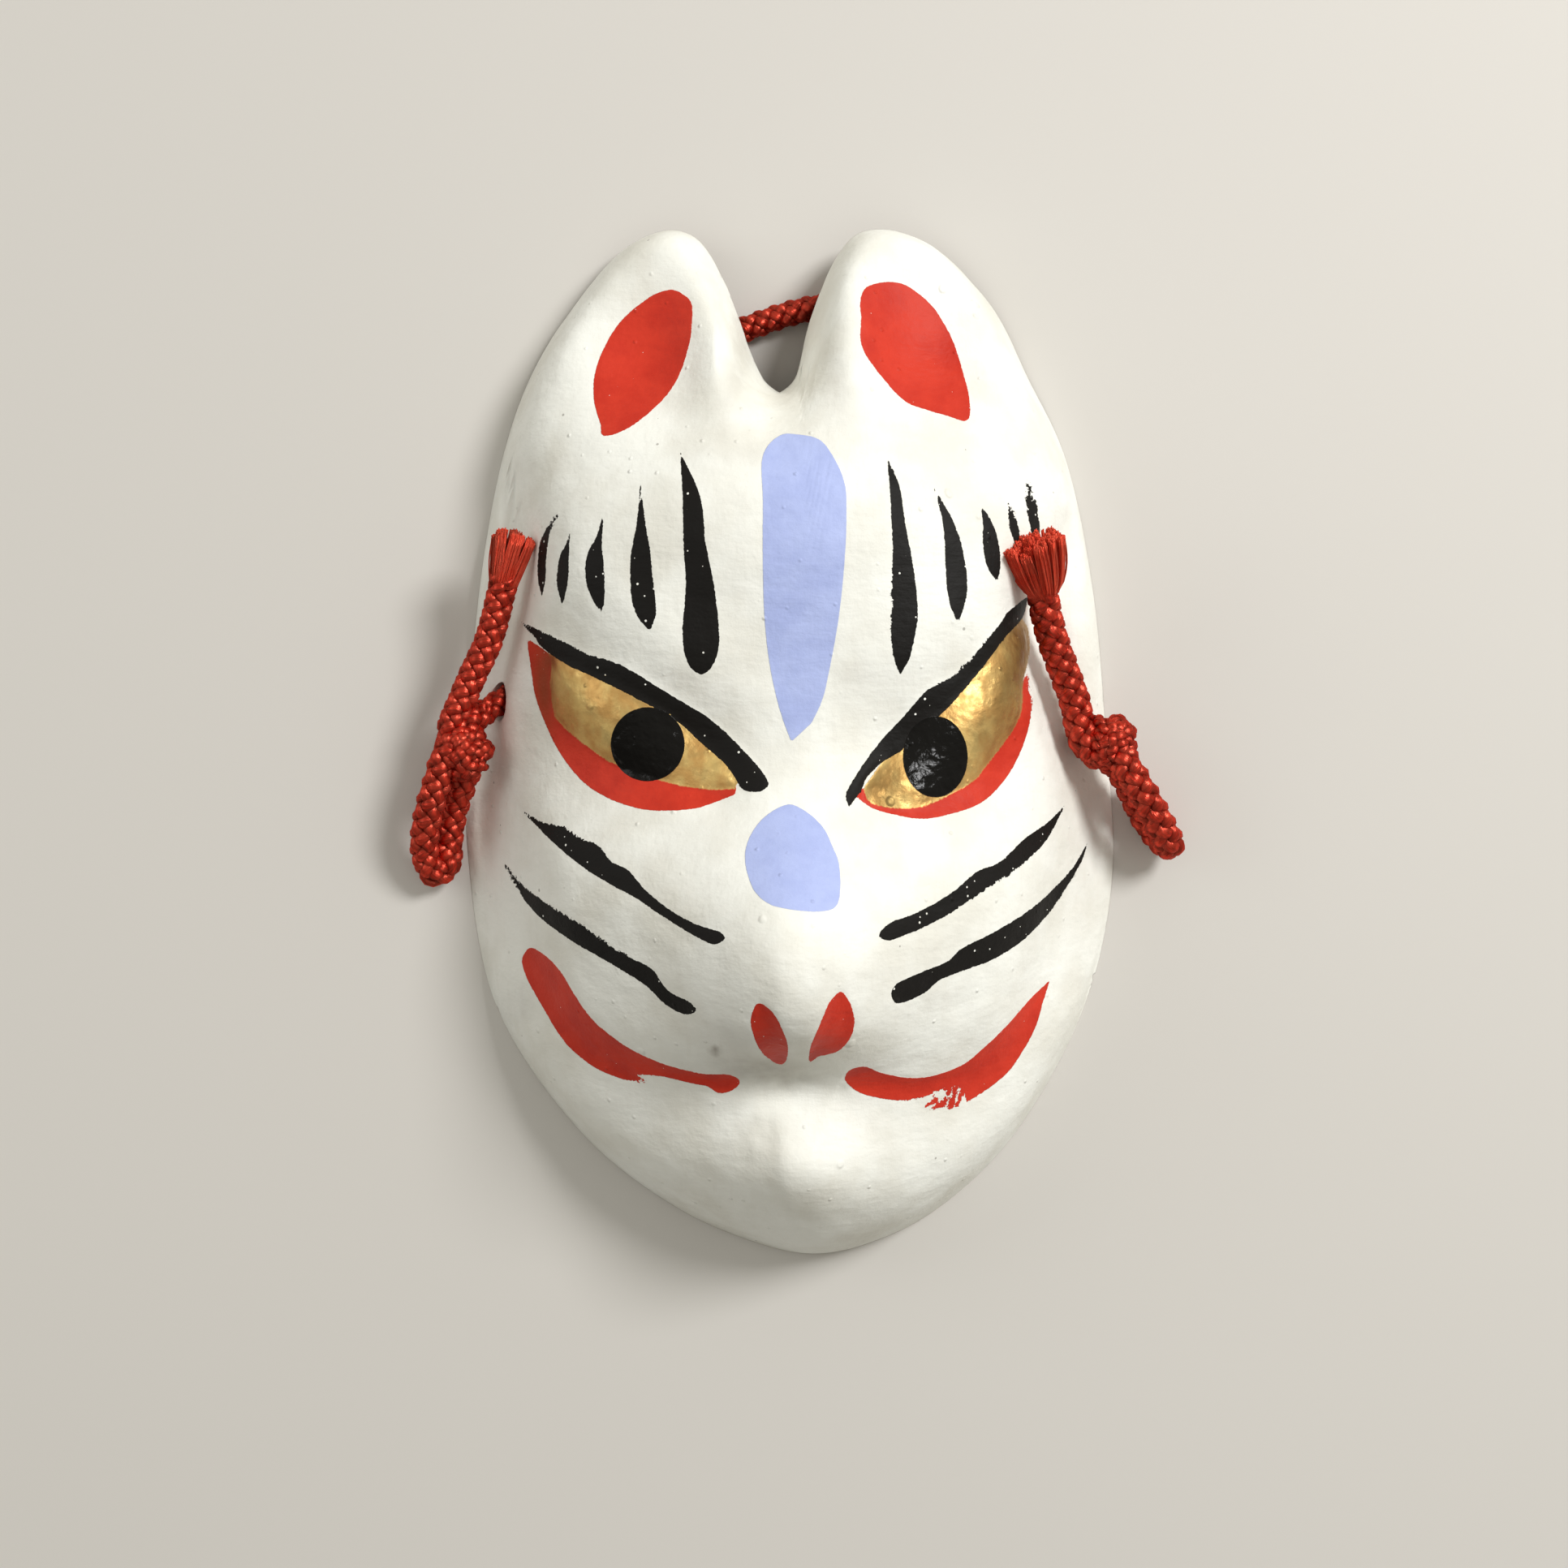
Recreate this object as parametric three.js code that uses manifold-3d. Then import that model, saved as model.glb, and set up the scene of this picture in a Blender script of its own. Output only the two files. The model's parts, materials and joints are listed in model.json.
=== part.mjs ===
// A small papier-mâché fox mask, lying face up on its rim, with a red braided hanging cord.
// Millimetres. +X to the right of the face, +Y from the chin to the ears, +Z out of the face.
// The origin is under the middle of the mask's own box, on the surface that it lies on.
import * as THREE from "three";
import { mergeVertices } from "three/addons/utils/BufferGeometryUtils.js";
import Module from "manifold-3d";

const wasm = await Module();
wasm.setup();

// Driving dimensions of the shell
const MASK_WIDTH = 96;
const MASK_HEIGHT = 151;
const MASK_DEPTH = 45;
const WALL = 2;
const NOTCH_LIFT = 8; // how far the rim stands clear of the table in the notch between the ears
const NOTCH_LIFT_FROM = [0.5, 0.68]; // where it starts and is complete, as shares of half the height
const NOTCH_LIFT_WIDTH = 0.44; // how far to each side, as a share of half the width

// Driving dimensions of the cord
const CORD_DIAMETER = 4;
const HOLE_CLEARANCE = 0.4; // all round the cord in its hole
const TABLE_GAP = 0.2; // under the cord
const KNOT_WIDTH = 8.6;
const KNOT_LENGTH = 9.4;
const FRAY_LENGTH = 3.6;
const LEFT_FRAY_WIDTH = 5.4;
const RIGHT_FRAY_WIDTH = 8.2;
const FRAY_THICKNESS = 4.4;
const KNOT_FULLNESS = 0.75; // 1 is a ball, and less is nearer a barrel

// How finely the surfaces are cut into facets
const COLUMNS = 48; // across the outer skin
const ROWS = 52; // up the outer skin
const EDGE_CROWDING = 0.5; // how much closer the facets lie at the rim than in the middle
const NOTCH_CROWDING = 0.35; // how much closer they lie at the notch and the chin than beside them
const CORD_SIDES = 8;
const HOLE_SIDES = 16;
const CORD_STEPS = 60; // along the stretch behind the mask
const LOOP_STEPS = 22;
const TAIL_STEPS = 9;
const KNOT_SIDES = 14;

const HALF_WIDTH = MASK_WIDTH / 2;
const HALF_HEIGHT = MASK_HEIGHT / 2;
const CORD_RADIUS = CORD_DIAMETER / 2;

// The rim's outline, as shares of half the width and half the height.
// Each stretch starts where the one before it ends.
const LEFT_EAR = [
  [-0.879, 0.567], [-0.79, 0.726], [-0.663, 0.853], [-0.49, 0.972], [-0.344, 0.999], [-0.292, 0.986],
  [-0.25, 0.955], [-0.158, 0.832], [-0.108, 0.737], [-0.075, 0.69], [-0.028, 0.67],
];
const RIGHT_EAR = [
  [-0.028, 0.67], [0.016, 0.688], [0.034, 0.737], [0.071, 0.832], [0.16, 0.953], [0.205, 0.984],
  [0.26, 0.996], [0.425, 0.972], [0.627, 0.853], [0.727, 0.726], [0.848, 0.567],
];
const RIGHT_SIDE = [[0.848, 0.567], [0.935, 0.313], [0.977, 0.026], [0.998, -0.26], [0.91, -0.514]];
const RIGHT_JAW = [[0.91, -0.514], [0.69, -0.768], [0.49, -0.895], [0.323, -0.959], [0.079, -0.999]];
const LEFT_JAW = [[0.079, -0.999], [-0.177, -0.959], [-0.379, -0.895], [-0.629, -0.768], [-0.9, -0.514]];
const LEFT_SIDE = [[-0.9, -0.514], [-0.99, -0.212], [-0.99, 0.0], [-0.952, 0.313], [-0.879, 0.567]];

// Heights up the middle of the face, as [share of half the height, share of the depth].
const FOREHEAD_TO_CHIN = [
  [-1.05, 0.26], [-0.93, 0.36], [-0.85, 0.5], [-0.75, 0.57], [-0.6, 0.56], [-0.4, 0.56], [-0.2, 0.565],
  [0, 0.585], [0.2, 0.65], [0.37, 0.68], [0.53, 0.62], [0.66, 0.5], [0.8, 0.4], [0.93, 0.33], [1.05, 0.28],
];
// The snout stands on that, as [share of half the height, share of the depth].
const SNOUT_RISE = [
  [-0.66, 0], [-0.61, 0.04], [-0.57, 0.13], [-0.53, 0.235], [-0.48, 0.31], [-0.42, 0.345], [-0.36, 0.345],
  [-0.28, 0.295], [-0.18, 0.18], [-0.08, 0.085], [0.02, 0.03], [0.12, 0],
];
// The snout's half width, as [share of half the height, share of half the width].
const SNOUT_WIDTH = [[-0.7, 0.3], [-0.5, 0.3], [-0.38, 0.34], [-0.2, 0.38], [0, 0.3], [0.15, 0.26]];
const SNOUT_ROUNDNESS = 1.8; // 2 is a bell, and less is sharper along the top
// The flat band outside the cheeks, where the cord holes are: its width, as
// [share of half the height, share of half the width].
const LEFT_BAND = [
  [-0.42, 0], [-0.3, 0.04], [-0.2, 0.06], [-0.06, 0.066], [0.08, 0.078], [0.2, 0.11], [0.3, 0.12],
  [0.42, 0.09], [0.56, 0],
];
const RIGHT_BAND = [
  [-0.26, 0], [-0.15, 0.05], [0.03, 0.155], [0.14, 0.195], [0.24, 0.2], [0.36, 0.08], [0.46, 0],
];
// The cord holes in the band, as [share of half the width, share of half the height].
const LEFT_HOLE_AT = [-0.875, 0.08];
const RIGHT_HOLE_AT = [0.895, 0.014];
const BAND_FOOT = 0.016; // how far in from the rim it starts, as a share of half the width
const BAND_SLOPE = 0.4;
const BAND_BESIDE = [0.3, 0.7]; // it is only beside the face: where it starts and is complete
const BAND_SPREAD = 1.1; // how far it takes to flatten out, as a share of its own width

// Low swellings and dents: centre and reach as shares of the half width and half height,
// lift as a share of the depth, and turn in degrees. Each is made on both sides of the face.
const SIDE_SWELLINGS = [
  { name: "cheek", at: [0.54, -0.22], reach: [0.3, 0.16], lift: 0.07, turn: 20 },
  { name: "eyeball", at: [0.45, 0.02], reach: [0.26, 0.08], lift: 0.05, turn: 32 },
  { name: "eye socket", at: [0.3, -0.02], reach: [0.16, 0.09], lift: -0.055, turn: 20 },
  { name: "brow", at: [0.42, 0.19], reach: [0.36, 0.075], lift: 0.045, turn: 30 },
  { name: "temple", at: [0.66, 0.36], reach: [0.2, 0.12], lift: 0.03, turn: 0 },
  { name: "inner ear", at: [0.41, 0.71], reach: [0.19, 0.17], lift: -0.1, turn: -14 },
  { name: "ear root", at: [0.22, 0.57], reach: [0.12, 0.07], lift: -0.03, turn: 0 },
  { name: "ear fold", at: [0.19, 0.74], reach: [0.07, 0.18], lift: 0.05, turn: 8 },
];
const MIDDLE_SWELLINGS = [
  { name: "chin", at: [0.03, -0.79], reach: [0.17, 0.08], lift: 0.08, turn: 0 },
  { name: "under the nose", at: [0.02, -0.62], reach: [0.13, 0.035], lift: -0.06, turn: 0 },
  { name: "groove of the lip", at: [-0.02, -0.57], reach: [0.05, 0.045], lift: -0.025, turn: 0 },
];

const FACE_ROUNDNESS = 2.3; // how square the face is across: 2 is a dome, and more is flatter
const FACE_DROP = 0.6; // how far the face falls away from the middle to the sides, as a share of the depth
const EAR_DROP = 0.34; // the same across the ears
const WALL_RISE = 0.46; // height of the steep side wall, as a share of the depth
const WALL_REACH = 0.14; // how far in from the rim it is steep, as a share of the half width
const WALL_SLOPE = 0.9; // its slope further in
const BLEND = 0.055; // how softly the face rolls over into the side wall, as a share of the depth
// The line of the mouth, as [share of half the width, share of half the height], the same on both sides.
const MOUTH = [[0, -0.625], [0.36, -0.635], [0.6, -0.585], [0.74, -0.47], [0.8, -0.38]];
const MUZZLE_LIFT = 0.09; // how far the muzzle stands out over the jaw, as a share of the depth
const MUZZLE_ROUND = [-0.03, 0.15]; // where it rises, above the mouth as shares of half the height
const MUZZLE_FADE = [0.2, 0.6]; // where it sinks back into the cheeks above that
const MUZZLE_SIDE = [0.6, 0.85]; // where it ends beside the face, as shares of half the width
const CHIN_KEEL = 1.5; // how rounded the jaw is across: 1 is a sharp keel, and 2 is a dome
const CHIN_LEAN = 0.09; // how far the keel leans to the right at the tip, as a share of half the width
const CHIN_FROM = 0.65; // where it starts to lean, below the middle as a share of half the height
const JAW_FROM = [0.5, 0.75]; // where the face turns into the jaw, below the middle
const EARS_FROM = [0.5, 0.75]; // where it turns into the ears, above the middle

const smooth = (from, to, value) => THREE.MathUtils.smoothstep(value, from, to);
const bell = (value) => Math.exp(-value * value);

// A smooth curve through [where, height] points, read off at one place.
function readProfile(points, where) {
  const last = points.length - 1;
  if (where <= points[0][0]) return points[0][1];
  if (where >= points[last][0]) return points[last][1];
  const i = points.findIndex((point) => point[0] > where) - 1;
  const [x1, y1] = points[i];
  const [x2, y2] = points[i + 1];
  const [x0, y0] = points[Math.max(i - 1, 0)];
  const [x3, y3] = points[Math.min(i + 2, last)];
  const span = x2 - x1;
  const t = (where - x1) / span;
  const start = ((y2 - y0) / (x2 - x0)) * span;
  const end = ((y3 - y1) / (x3 - x1)) * span;
  const t2 = t * t;
  const t3 = t2 * t;
  return (2 * t3 - 3 * t2 + 1) * y1 + (t3 - 2 * t2 + t) * start + (3 * t2 - 2 * t3) * y2 + (t3 - t2) * end;
}

const toFace = ([a, b]) => new THREE.Vector3(a * HALF_WIDTH, b * HALF_HEIGHT, 0);

// The closed outline, sampled finely, with the index at which each stretch starts.
function sampleOutline() {
  const stretches = [LEFT_EAR, RIGHT_EAR, RIGHT_SIDE, RIGHT_JAW, LEFT_JAW, LEFT_SIDE];
  const corners = stretches.flatMap((stretch) => stretch.slice(0, -1)).map(toFace);
  const curve = new THREE.CatmullRomCurve3(corners, true, "centripetal");
  const perSpan = 24;
  const points = curve.getPoints(corners.length * perSpan);
  let first = 0;
  const sides = stretches.map((stretch) => {
    const spans = stretch.length - 1;
    const side = points.slice(first * perSpan, (first + spans) * perSpan + 1);
    first += spans;
    return side;
  });
  return { points, sides };
}

const outline = sampleOutline();

// A point at a share of the length along a side.
function along(side, share) {
  const lengths = [0];
  for (let i = 1; i < side.length; i++) lengths.push(lengths[i - 1] + side[i].distanceTo(side[i - 1]));
  const target = share * lengths[lengths.length - 1];
  let i = 1;
  while (i < side.length - 1 && lengths[i] < target) i++;
  const t = (target - lengths[i - 1]) / (lengths[i] - lengths[i - 1]);
  return side[i - 1].clone().lerp(side[i], THREE.MathUtils.clamp(t, 0, 1));
}

function distanceToOutline(x, y) {
  let best = Infinity;
  for (let i = 1; i < outline.points.length; i++) {
    const a = outline.points[i - 1];
    const b = outline.points[i];
    const dx = b.x - a.x;
    const dy = b.y - a.y;
    const share = ((x - a.x) * dx + (y - a.y) * dy) / Math.max(dx * dx + dy * dy, 1e-12);
    const t = THREE.MathUtils.clamp(share, 0, 1);
    best = Math.min(best, Math.hypot(x - a.x - t * dx, y - a.y - t * dy));
  }
  return best;
}

// The rim lies on the table, and rises clear of it round the notch.
function rimHeight(x, y) {
  const up = smooth(NOTCH_LIFT_FROM[0], NOTCH_LIFT_FROM[1], y / HALF_HEIGHT);
  return NOTCH_LIFT * up * bell(x / (NOTCH_LIFT_WIDTH * HALF_WIDTH));
}

function swelling(part, x, y, side) {
  const turn = THREE.MathUtils.degToRad(part.turn);
  const dx = side * x - part.at[0] * HALF_WIDTH;
  const dy = y - part.at[1] * HALF_HEIGHT;
  const across = (dx * Math.cos(turn) + dy * Math.sin(turn)) / (part.reach[0] * HALF_WIDTH);
  const up = (dy * Math.cos(turn) - dx * Math.sin(turn)) / (part.reach[1] * HALF_HEIGHT);
  return part.lift * MASK_DEPTH * Math.exp(-across * across - up * up);
}

// How far the muzzle stands out at a point above the mouth.
function muzzleLift(x, y) {
  const a = Math.abs(x) / HALF_WIDTH;
  const above = y / HALF_HEIGHT - readProfile(MOUTH, a);
  const upwards = smooth(...MUZZLE_ROUND, above) * (1 - smooth(...MUZZLE_FADE, above));
  return MUZZLE_LIFT * MASK_DEPTH * upwards * (1 - smooth(...MUZZLE_SIDE, a));
}

// The carved face without its side walls.
function faceHeight(x, y) {
  const b = y / HALF_HEIGHT;
  const jaw = smooth(...JAW_FROM, -b);
  const middle = CHIN_LEAN * HALF_WIDTH * smooth(CHIN_FROM, 1, -b);
  const a = Math.abs(x - middle) / HALF_WIDTH;
  const drop = THREE.MathUtils.lerp(FACE_DROP, EAR_DROP, smooth(...EARS_FROM, b));
  const roundness = THREE.MathUtils.lerp(FACE_ROUNDNESS, CHIN_KEEL, jaw);
  let z = MASK_DEPTH * (readProfile(FOREHEAD_TO_CHIN, b) - drop * a ** roundness);
  const snoutShare = Math.abs(x) / HALF_WIDTH / readProfile(SNOUT_WIDTH, b);
  z += MASK_DEPTH * readProfile(SNOUT_RISE, b) * Math.exp(-(snoutShare ** SNOUT_ROUNDNESS));
  for (const part of SIDE_SWELLINGS) z += swelling(part, x, y, 1) + swelling(part, x, y, -1);
  for (const part of MIDDLE_SWELLINGS) z += swelling(part, x, y, 1);
  return z + muzzleLift(x, y);
}

// The steep wall that rises from the rim, with the flat band at its foot beside the cheeks.
function wallHeight(x, y) {
  const d = distanceToOutline(x, y);
  const beside = smooth(...BAND_BESIDE, Math.abs(x) / HALF_WIDTH);
  const width = beside * readProfile(x < 0 ? LEFT_BAND : RIGHT_BAND, y / HALF_HEIGHT) * HALF_WIDTH;
  const foot = BAND_FOOT * HALF_WIDTH;
  const band = width * smooth(foot, 2 * foot + BAND_SPREAD * width, d);
  const inwards = Math.max(d - band, 0);
  const steep = WALL_RISE * MASK_DEPTH * (1 - Math.exp(-inwards / (WALL_REACH * HALF_WIDTH)));
  return rimHeight(x, y) + steep + WALL_SLOPE * inwards + BAND_SLOPE * band;
}

// The outer skin's height at a point of the face.
function skinHeight(x, y) {
  const k = BLEND * MASK_DEPTH;
  const wall = wallHeight(x, y);
  const face = Math.max(faceHeight(x, y), rimHeight(x, y) + k);
  const low = Math.min(wall, face);
  const rolled = low - k * Math.log(Math.exp((low - wall) / k) + Math.exp((low - face) / k));
  return Math.max(rolled, rimHeight(x, y));
}

// The inner skin lies one wall under the outer one, measured square to it.
function hollowHeight(x, y) {
  let z = skinHeight(x, y) - WALL;
  const directions = 12;
  for (const share of [0.7, 1]) {
    const reach = share * WALL;
    const under = Math.sqrt(WALL * WALL - reach * reach);
    for (let i = 0; i < directions; i++) {
      const angle = (i / directions) * 2 * Math.PI;
      z = Math.min(z, skinHeight(x + reach * Math.cos(angle), y + reach * Math.sin(angle)) - under);
    }
  }
  return Math.max(z, rimHeight(x, y));
}

// The four sides of the outline, moved inwards.
function sidesMovedIn(distance) {
  const { points } = outline;
  const count = points.length - 1;
  const moved = points.map((point, i) => {
    const before = points[(i - 1 + count) % count];
    const after = points[(i + 1) % count];
    const run = after.clone().sub(before).normalize();
    return new THREE.Vector3(point.x + run.y * distance, point.y - run.x * distance, 0);
  });
  let first = 0;
  return outline.sides.map((side) => {
    const part = moved.slice(first, first + side.length);
    first += side.length - 1;
    return part;
  });
}

const crowd = (t) => t - (EDGE_CROWDING * Math.sin(2 * Math.PI * t)) / (2 * Math.PI);
const crowdToEnd = (t) => t + (NOTCH_CROWDING * Math.sin(Math.PI * t)) / Math.PI;

// A point at a share of the way along two stretches, half of it on each, closest together at the joint.
function alongBoth(first, second, share) {
  if (share <= 0.5) return along(first, crowdToEnd(2 * share));
  return along(second, 1 - crowdToEnd(2 - 2 * share));
}

// A grid of points that fills the outline, with its rows and columns parallel to the four sides.
function fillOutline([leftEar, rightEar, right, rightJaw, leftJaw, left], columns, rows, heightAt) {
  const upRight = [...right].reverse();
  const jaw = [[...leftJaw].reverse(), [...rightJaw].reverse()];
  const corners = {
    lowLeft: left[0], lowRight: upRight[0], highLeft: leftEar[0], highRight: rightEar.at(-1),
  };
  const grid = [];
  for (let j = 0; j <= rows; j++) {
    const v = crowd(j / rows);
    const row = [];
    for (let i = 0; i <= columns; i++) {
      const u = crowd(i / columns);
      const low = alongBoth(jaw[0], jaw[1], u);
      const high = alongBoth(leftEar, rightEar, u);
      const before = along(left, v);
      const after = along(upRight, v);
      const [x, y] = ["x", "y"].map((axis) =>
        (1 - v) * low[axis] + v * high[axis] + (1 - u) * before[axis] + u * after[axis]
        - (1 - u) * ((1 - v) * corners.lowLeft[axis] + v * corners.highLeft[axis])
        - u * ((1 - v) * corners.lowRight[axis] + v * corners.highRight[axis]));
      const onRim = i === 0 || j === 0 || i === columns || j === rows;
      row.push(new THREE.Vector3(x, y, onRim ? rimHeight(x, y) : heightAt(x, y)));
    }
    grid.push(row);
  }
  return grid;
}

// Vertex numbers round the edge of a grid, counter-clockwise from above.
function ringOf(columns, rows, numberOf) {
  const ring = [];
  for (let i = 0; i < columns; i++) ring.push(numberOf(i, 0));
  for (let j = 0; j < rows; j++) ring.push(numberOf(columns, j));
  for (let i = columns; i > 0; i--) ring.push(numberOf(i, rows));
  for (let j = rows; j > 0; j--) ring.push(numberOf(0, j));
  return ring;
}

function makeShell() {
  const skin = fillOutline(outline.sides, COLUMNS, ROWS, skinHeight);
  const hollow = fillOutline(sidesMovedIn(WALL), COLUMNS / 2, ROWS / 2, hollowHeight);
  const points = [...skin.flat(), ...hollow.flat()];
  const inner = skin.flat().length;
  const skinNumber = (i, j) => j * (COLUMNS + 1) + i;
  const hollowNumber = (i, j) => inner + j * (COLUMNS / 2 + 1) + i;
  const faces = [];
  for (let j = 0; j < ROWS; j++) {
    for (let i = 0; i < COLUMNS; i++) {
      const [a, b] = [skinNumber(i, j), skinNumber(i + 1, j)];
      const [c, d] = [skinNumber(i + 1, j + 1), skinNumber(i, j + 1)];
      faces.push(a, b, c, a, c, d);
    }
  }
  for (let j = 0; j < ROWS / 2; j++) {
    for (let i = 0; i < COLUMNS / 2; i++) {
      const [a, b] = [hollowNumber(i, j), hollowNumber(i + 1, j)];
      const [c, d] = [hollowNumber(i + 1, j + 1), hollowNumber(i, j + 1)];
      faces.push(a, c, b, a, d, c);
    }
  }
  const outside = ringOf(COLUMNS, ROWS, skinNumber);
  const inside = ringOf(COLUMNS / 2, ROWS / 2, hollowNumber);
  inside.forEach((a, k) => {
    const b = inside[(k + 1) % inside.length];
    const o = [0, 1, 2].map((step) => outside[(2 * k + step) % outside.length]);
    faces.push(o[0], a, o[1], o[1], a, b, o[1], b, o[2]);
  });
  const geometry = new THREE.BufferGeometry();
  geometry.setAttribute("position", new THREE.Float32BufferAttribute(points.flatMap((p) => p.toArray()), 3));
  geometry.setIndex(faces);
  return geometry;
}

function toSolid(geometry) {
  const bare = geometry.clone();
  bare.deleteAttribute("normal");
  bare.deleteAttribute("uv");
  const merged = mergeVertices(bare, 1e-4);
  return new wasm.Manifold(new wasm.Mesh({
    numProp: 3,
    vertProperties: new Float32Array(merged.attributes.position.array),
    triVerts: new Uint32Array(merged.index.array),
  }));
}

function toGeometry(solid) {
  const { vertProperties, triVerts } = solid.getMesh();
  const geometry = new THREE.BufferGeometry();
  geometry.setAttribute("position", new THREE.BufferAttribute(vertProperties, 3));
  geometry.setIndex(new THREE.BufferAttribute(triVerts, 1));
  geometry.computeVertexNormals();
  return geometry;
}

// A cord hole: its middle in the wall, and the way the cord leaves it.
function makeHole([a, b], out) {
  const x = a * HALF_WIDTH;
  const y = b * HALF_HEIGHT;
  const direction = new THREE.Vector3(...out).normalize();
  const centre = new THREE.Vector3(x, y, skinHeight(x, y)).addScaledVector(direction, -WALL / 2);
  return { centre, direction };
}

const LEFT_HOLE = makeHole(LEFT_HOLE_AT, [-0.74, -0.5, 0.45]);
const RIGHT_HOLE = makeHole(RIGHT_HOLE_AT, [0.8, -0.05, 0.6]);

function drill({ centre, direction }) {
  const radius = CORD_RADIUS + HOLE_CLEARANCE;
  const geometry = new THREE.CylinderGeometry(radius, radius, 5 * WALL, HOLE_SIDES);
  const turn = new THREE.Quaternion().setFromUnitVectors(new THREE.Vector3(0, 1, 0), direction);
  geometry.applyQuaternion(turn);
  geometry.translate(centre.x, centre.y, centre.z);
  return toSolid(geometry);
}

const toVector = (point) => new THREE.Vector3(...point);
const curveThrough = (points) => new THREE.CatmullRomCurve3(points, false, "centripetal");

// A round tube along a smooth curve, with its ends cut square.
function makeTube(points, radius, steps) {
  const ring = Array.from({ length: CORD_SIDES }, (_, i) => {
    const angle = (i / CORD_SIDES) * 2 * Math.PI;
    return new THREE.Vector2(radius * Math.cos(angle), radius * Math.sin(angle));
  });
  const options = { extrudePath: curveThrough(points), steps, bevelEnabled: false };
  return new THREE.ExtrudeGeometry(new THREE.Shape(ring), options);
}

// A turned shape from [radius, height] pairs, standing on a point along an axis.
function makeTurned(profile, sides, foot, axis) {
  const geometry = new THREE.LatheGeometry(profile.map(([r, h]) => new THREE.Vector2(r, h)), sides);
  const up = new THREE.Vector3(0, 1, 0);
  const turn = new THREE.Quaternion().setFromUnitVectors(up, axis.clone().normalize());
  geometry.applyQuaternion(turn);
  geometry.translate(foot.x, foot.y, foot.z);
  return geometry;
}

// A knot's outer shape: a barrel with round ends, lying along the cord.
function makeKnot({ centre, axis }) {
  const steps = 8;
  const profile = [];
  for (let i = 0; i <= steps; i++) {
    const angle = Math.PI * (i / steps - 0.5);
    const radius = i % steps ? (KNOT_WIDTH / 2) * Math.cos(angle) ** KNOT_FULLNESS : 0;
    profile.push([radius, (KNOT_LENGTH / 2) * Math.sin(angle)]);
  }
  return makeTurned(profile, KNOT_SIDES, toVector(centre), toVector(axis));
}

// A cord's end, cut off and frayed out into a flat fan, standing on a point along an axis.
function makeFray(width, foot, axis) {
  const profile = [[0, -CORD_RADIUS], [CORD_RADIUS * 0.96, -CORD_RADIUS], [CORD_RADIUS * 0.96, 0]];
  profile.push([width / 2, FRAY_LENGTH], [0, FRAY_LENGTH]);
  const geometry = new THREE.LatheGeometry(profile.map(([r, h]) => new THREE.Vector2(r, h)), CORD_SIDES + 2);
  const position = geometry.attributes.position;
  for (let i = 0; i < position.count; i++) {
    if (position.getY(i) > 0) position.setZ(i, (position.getZ(i) * FRAY_THICKNESS) / width);
  }
  const forward = axis.clone().normalize();
  const up = new THREE.Vector3(0, 0, 1);
  const flat = new THREE.Vector3().crossVectors(forward, up).normalize();
  const turn = new THREE.Matrix4().makeBasis(flat, forward, new THREE.Vector3().crossVectors(flat, forward));
  geometry.applyMatrix4(turn);
  geometry.translate(foot.x, foot.y, foot.z);
  return geometry;
}

// A free tail of the cord with its frayed end, as one solid.
function makeTail(points, frayWidth) {
  const [before, end] = points.slice(-2);
  const tube = toSolid(makeTube(points, CORD_RADIUS, TAIL_STEPS));
  return toGeometry(tube.add(toSolid(makeFray(frayWidth, end, end.clone().sub(before)))));
}

// The cord's middle stretch: out of one hole to its knot, and behind the mask to the other.
const LOW = CORD_RADIUS + TABLE_GAP; // the height of its centreline where it lies on the table
const LEFT_REACH = 4; // how far outside each hole it meets the knot
const RIGHT_REACH = 0.8;

const outOf = ({ centre, direction }, distance) => centre.clone().addScaledVector(direction, distance);

const BEHIND = [
  outOf(LEFT_HOLE, LEFT_REACH), outOf(LEFT_HOLE, 0), outOf(LEFT_HOLE, -3),
  ...[
    [-36.4, 10.6, 2.6], [-32.9, 15.2, LOW], [-30, 21.5, LOW], [-26.8, 35.6, LOW], [-20.6, 49.4, LOW],
    [-12.6, 58, LOW], [-6.2, 61, LOW], [3, 63.9, LOW], [13.8, 64.6, LOW], [24.4, 59, LOW], [31.2, 46, LOW],
    [33.4, 31, LOW], [33, 17, LOW], [33, 9, LOW], [34.6, 3.9, 2.3],
  ].map(toVector),
  outOf(RIGHT_HOLE, -3), outOf(RIGHT_HOLE, 0), outOf(RIGHT_HOLE, RIGHT_REACH),
];

const LEFT_KNOT = { centre: [-46.8, 0, 8.5], axis: [0.05, 1, 0.05] };
const LEFT_LOOP = [
  [-50.3, -4.9, 9.0], [-52.1, -8.6, 7.9], [-53.3, -12.6, 5.6], [-53.2, -16.4, 3.8], [-51.9, -18.8, 2.7],
  [-50.3, -17.8, 2.3], [-49.6, -14.2, 2.5], [-48.6, -9.8, 4.1], [-47, -5.6, 6.5],
].map(toVector);
const LEFT_TAIL = [
  [-46.9, 5.4, 10], [-45.3, 9.6, 10.6], [-42.8, 15.4, 11.8], [-41.2, 21.2, 12.9], [-40.2, 24.9, 13.6],
  [-39.8, 26.6, 14],
].map(toVector);

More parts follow.
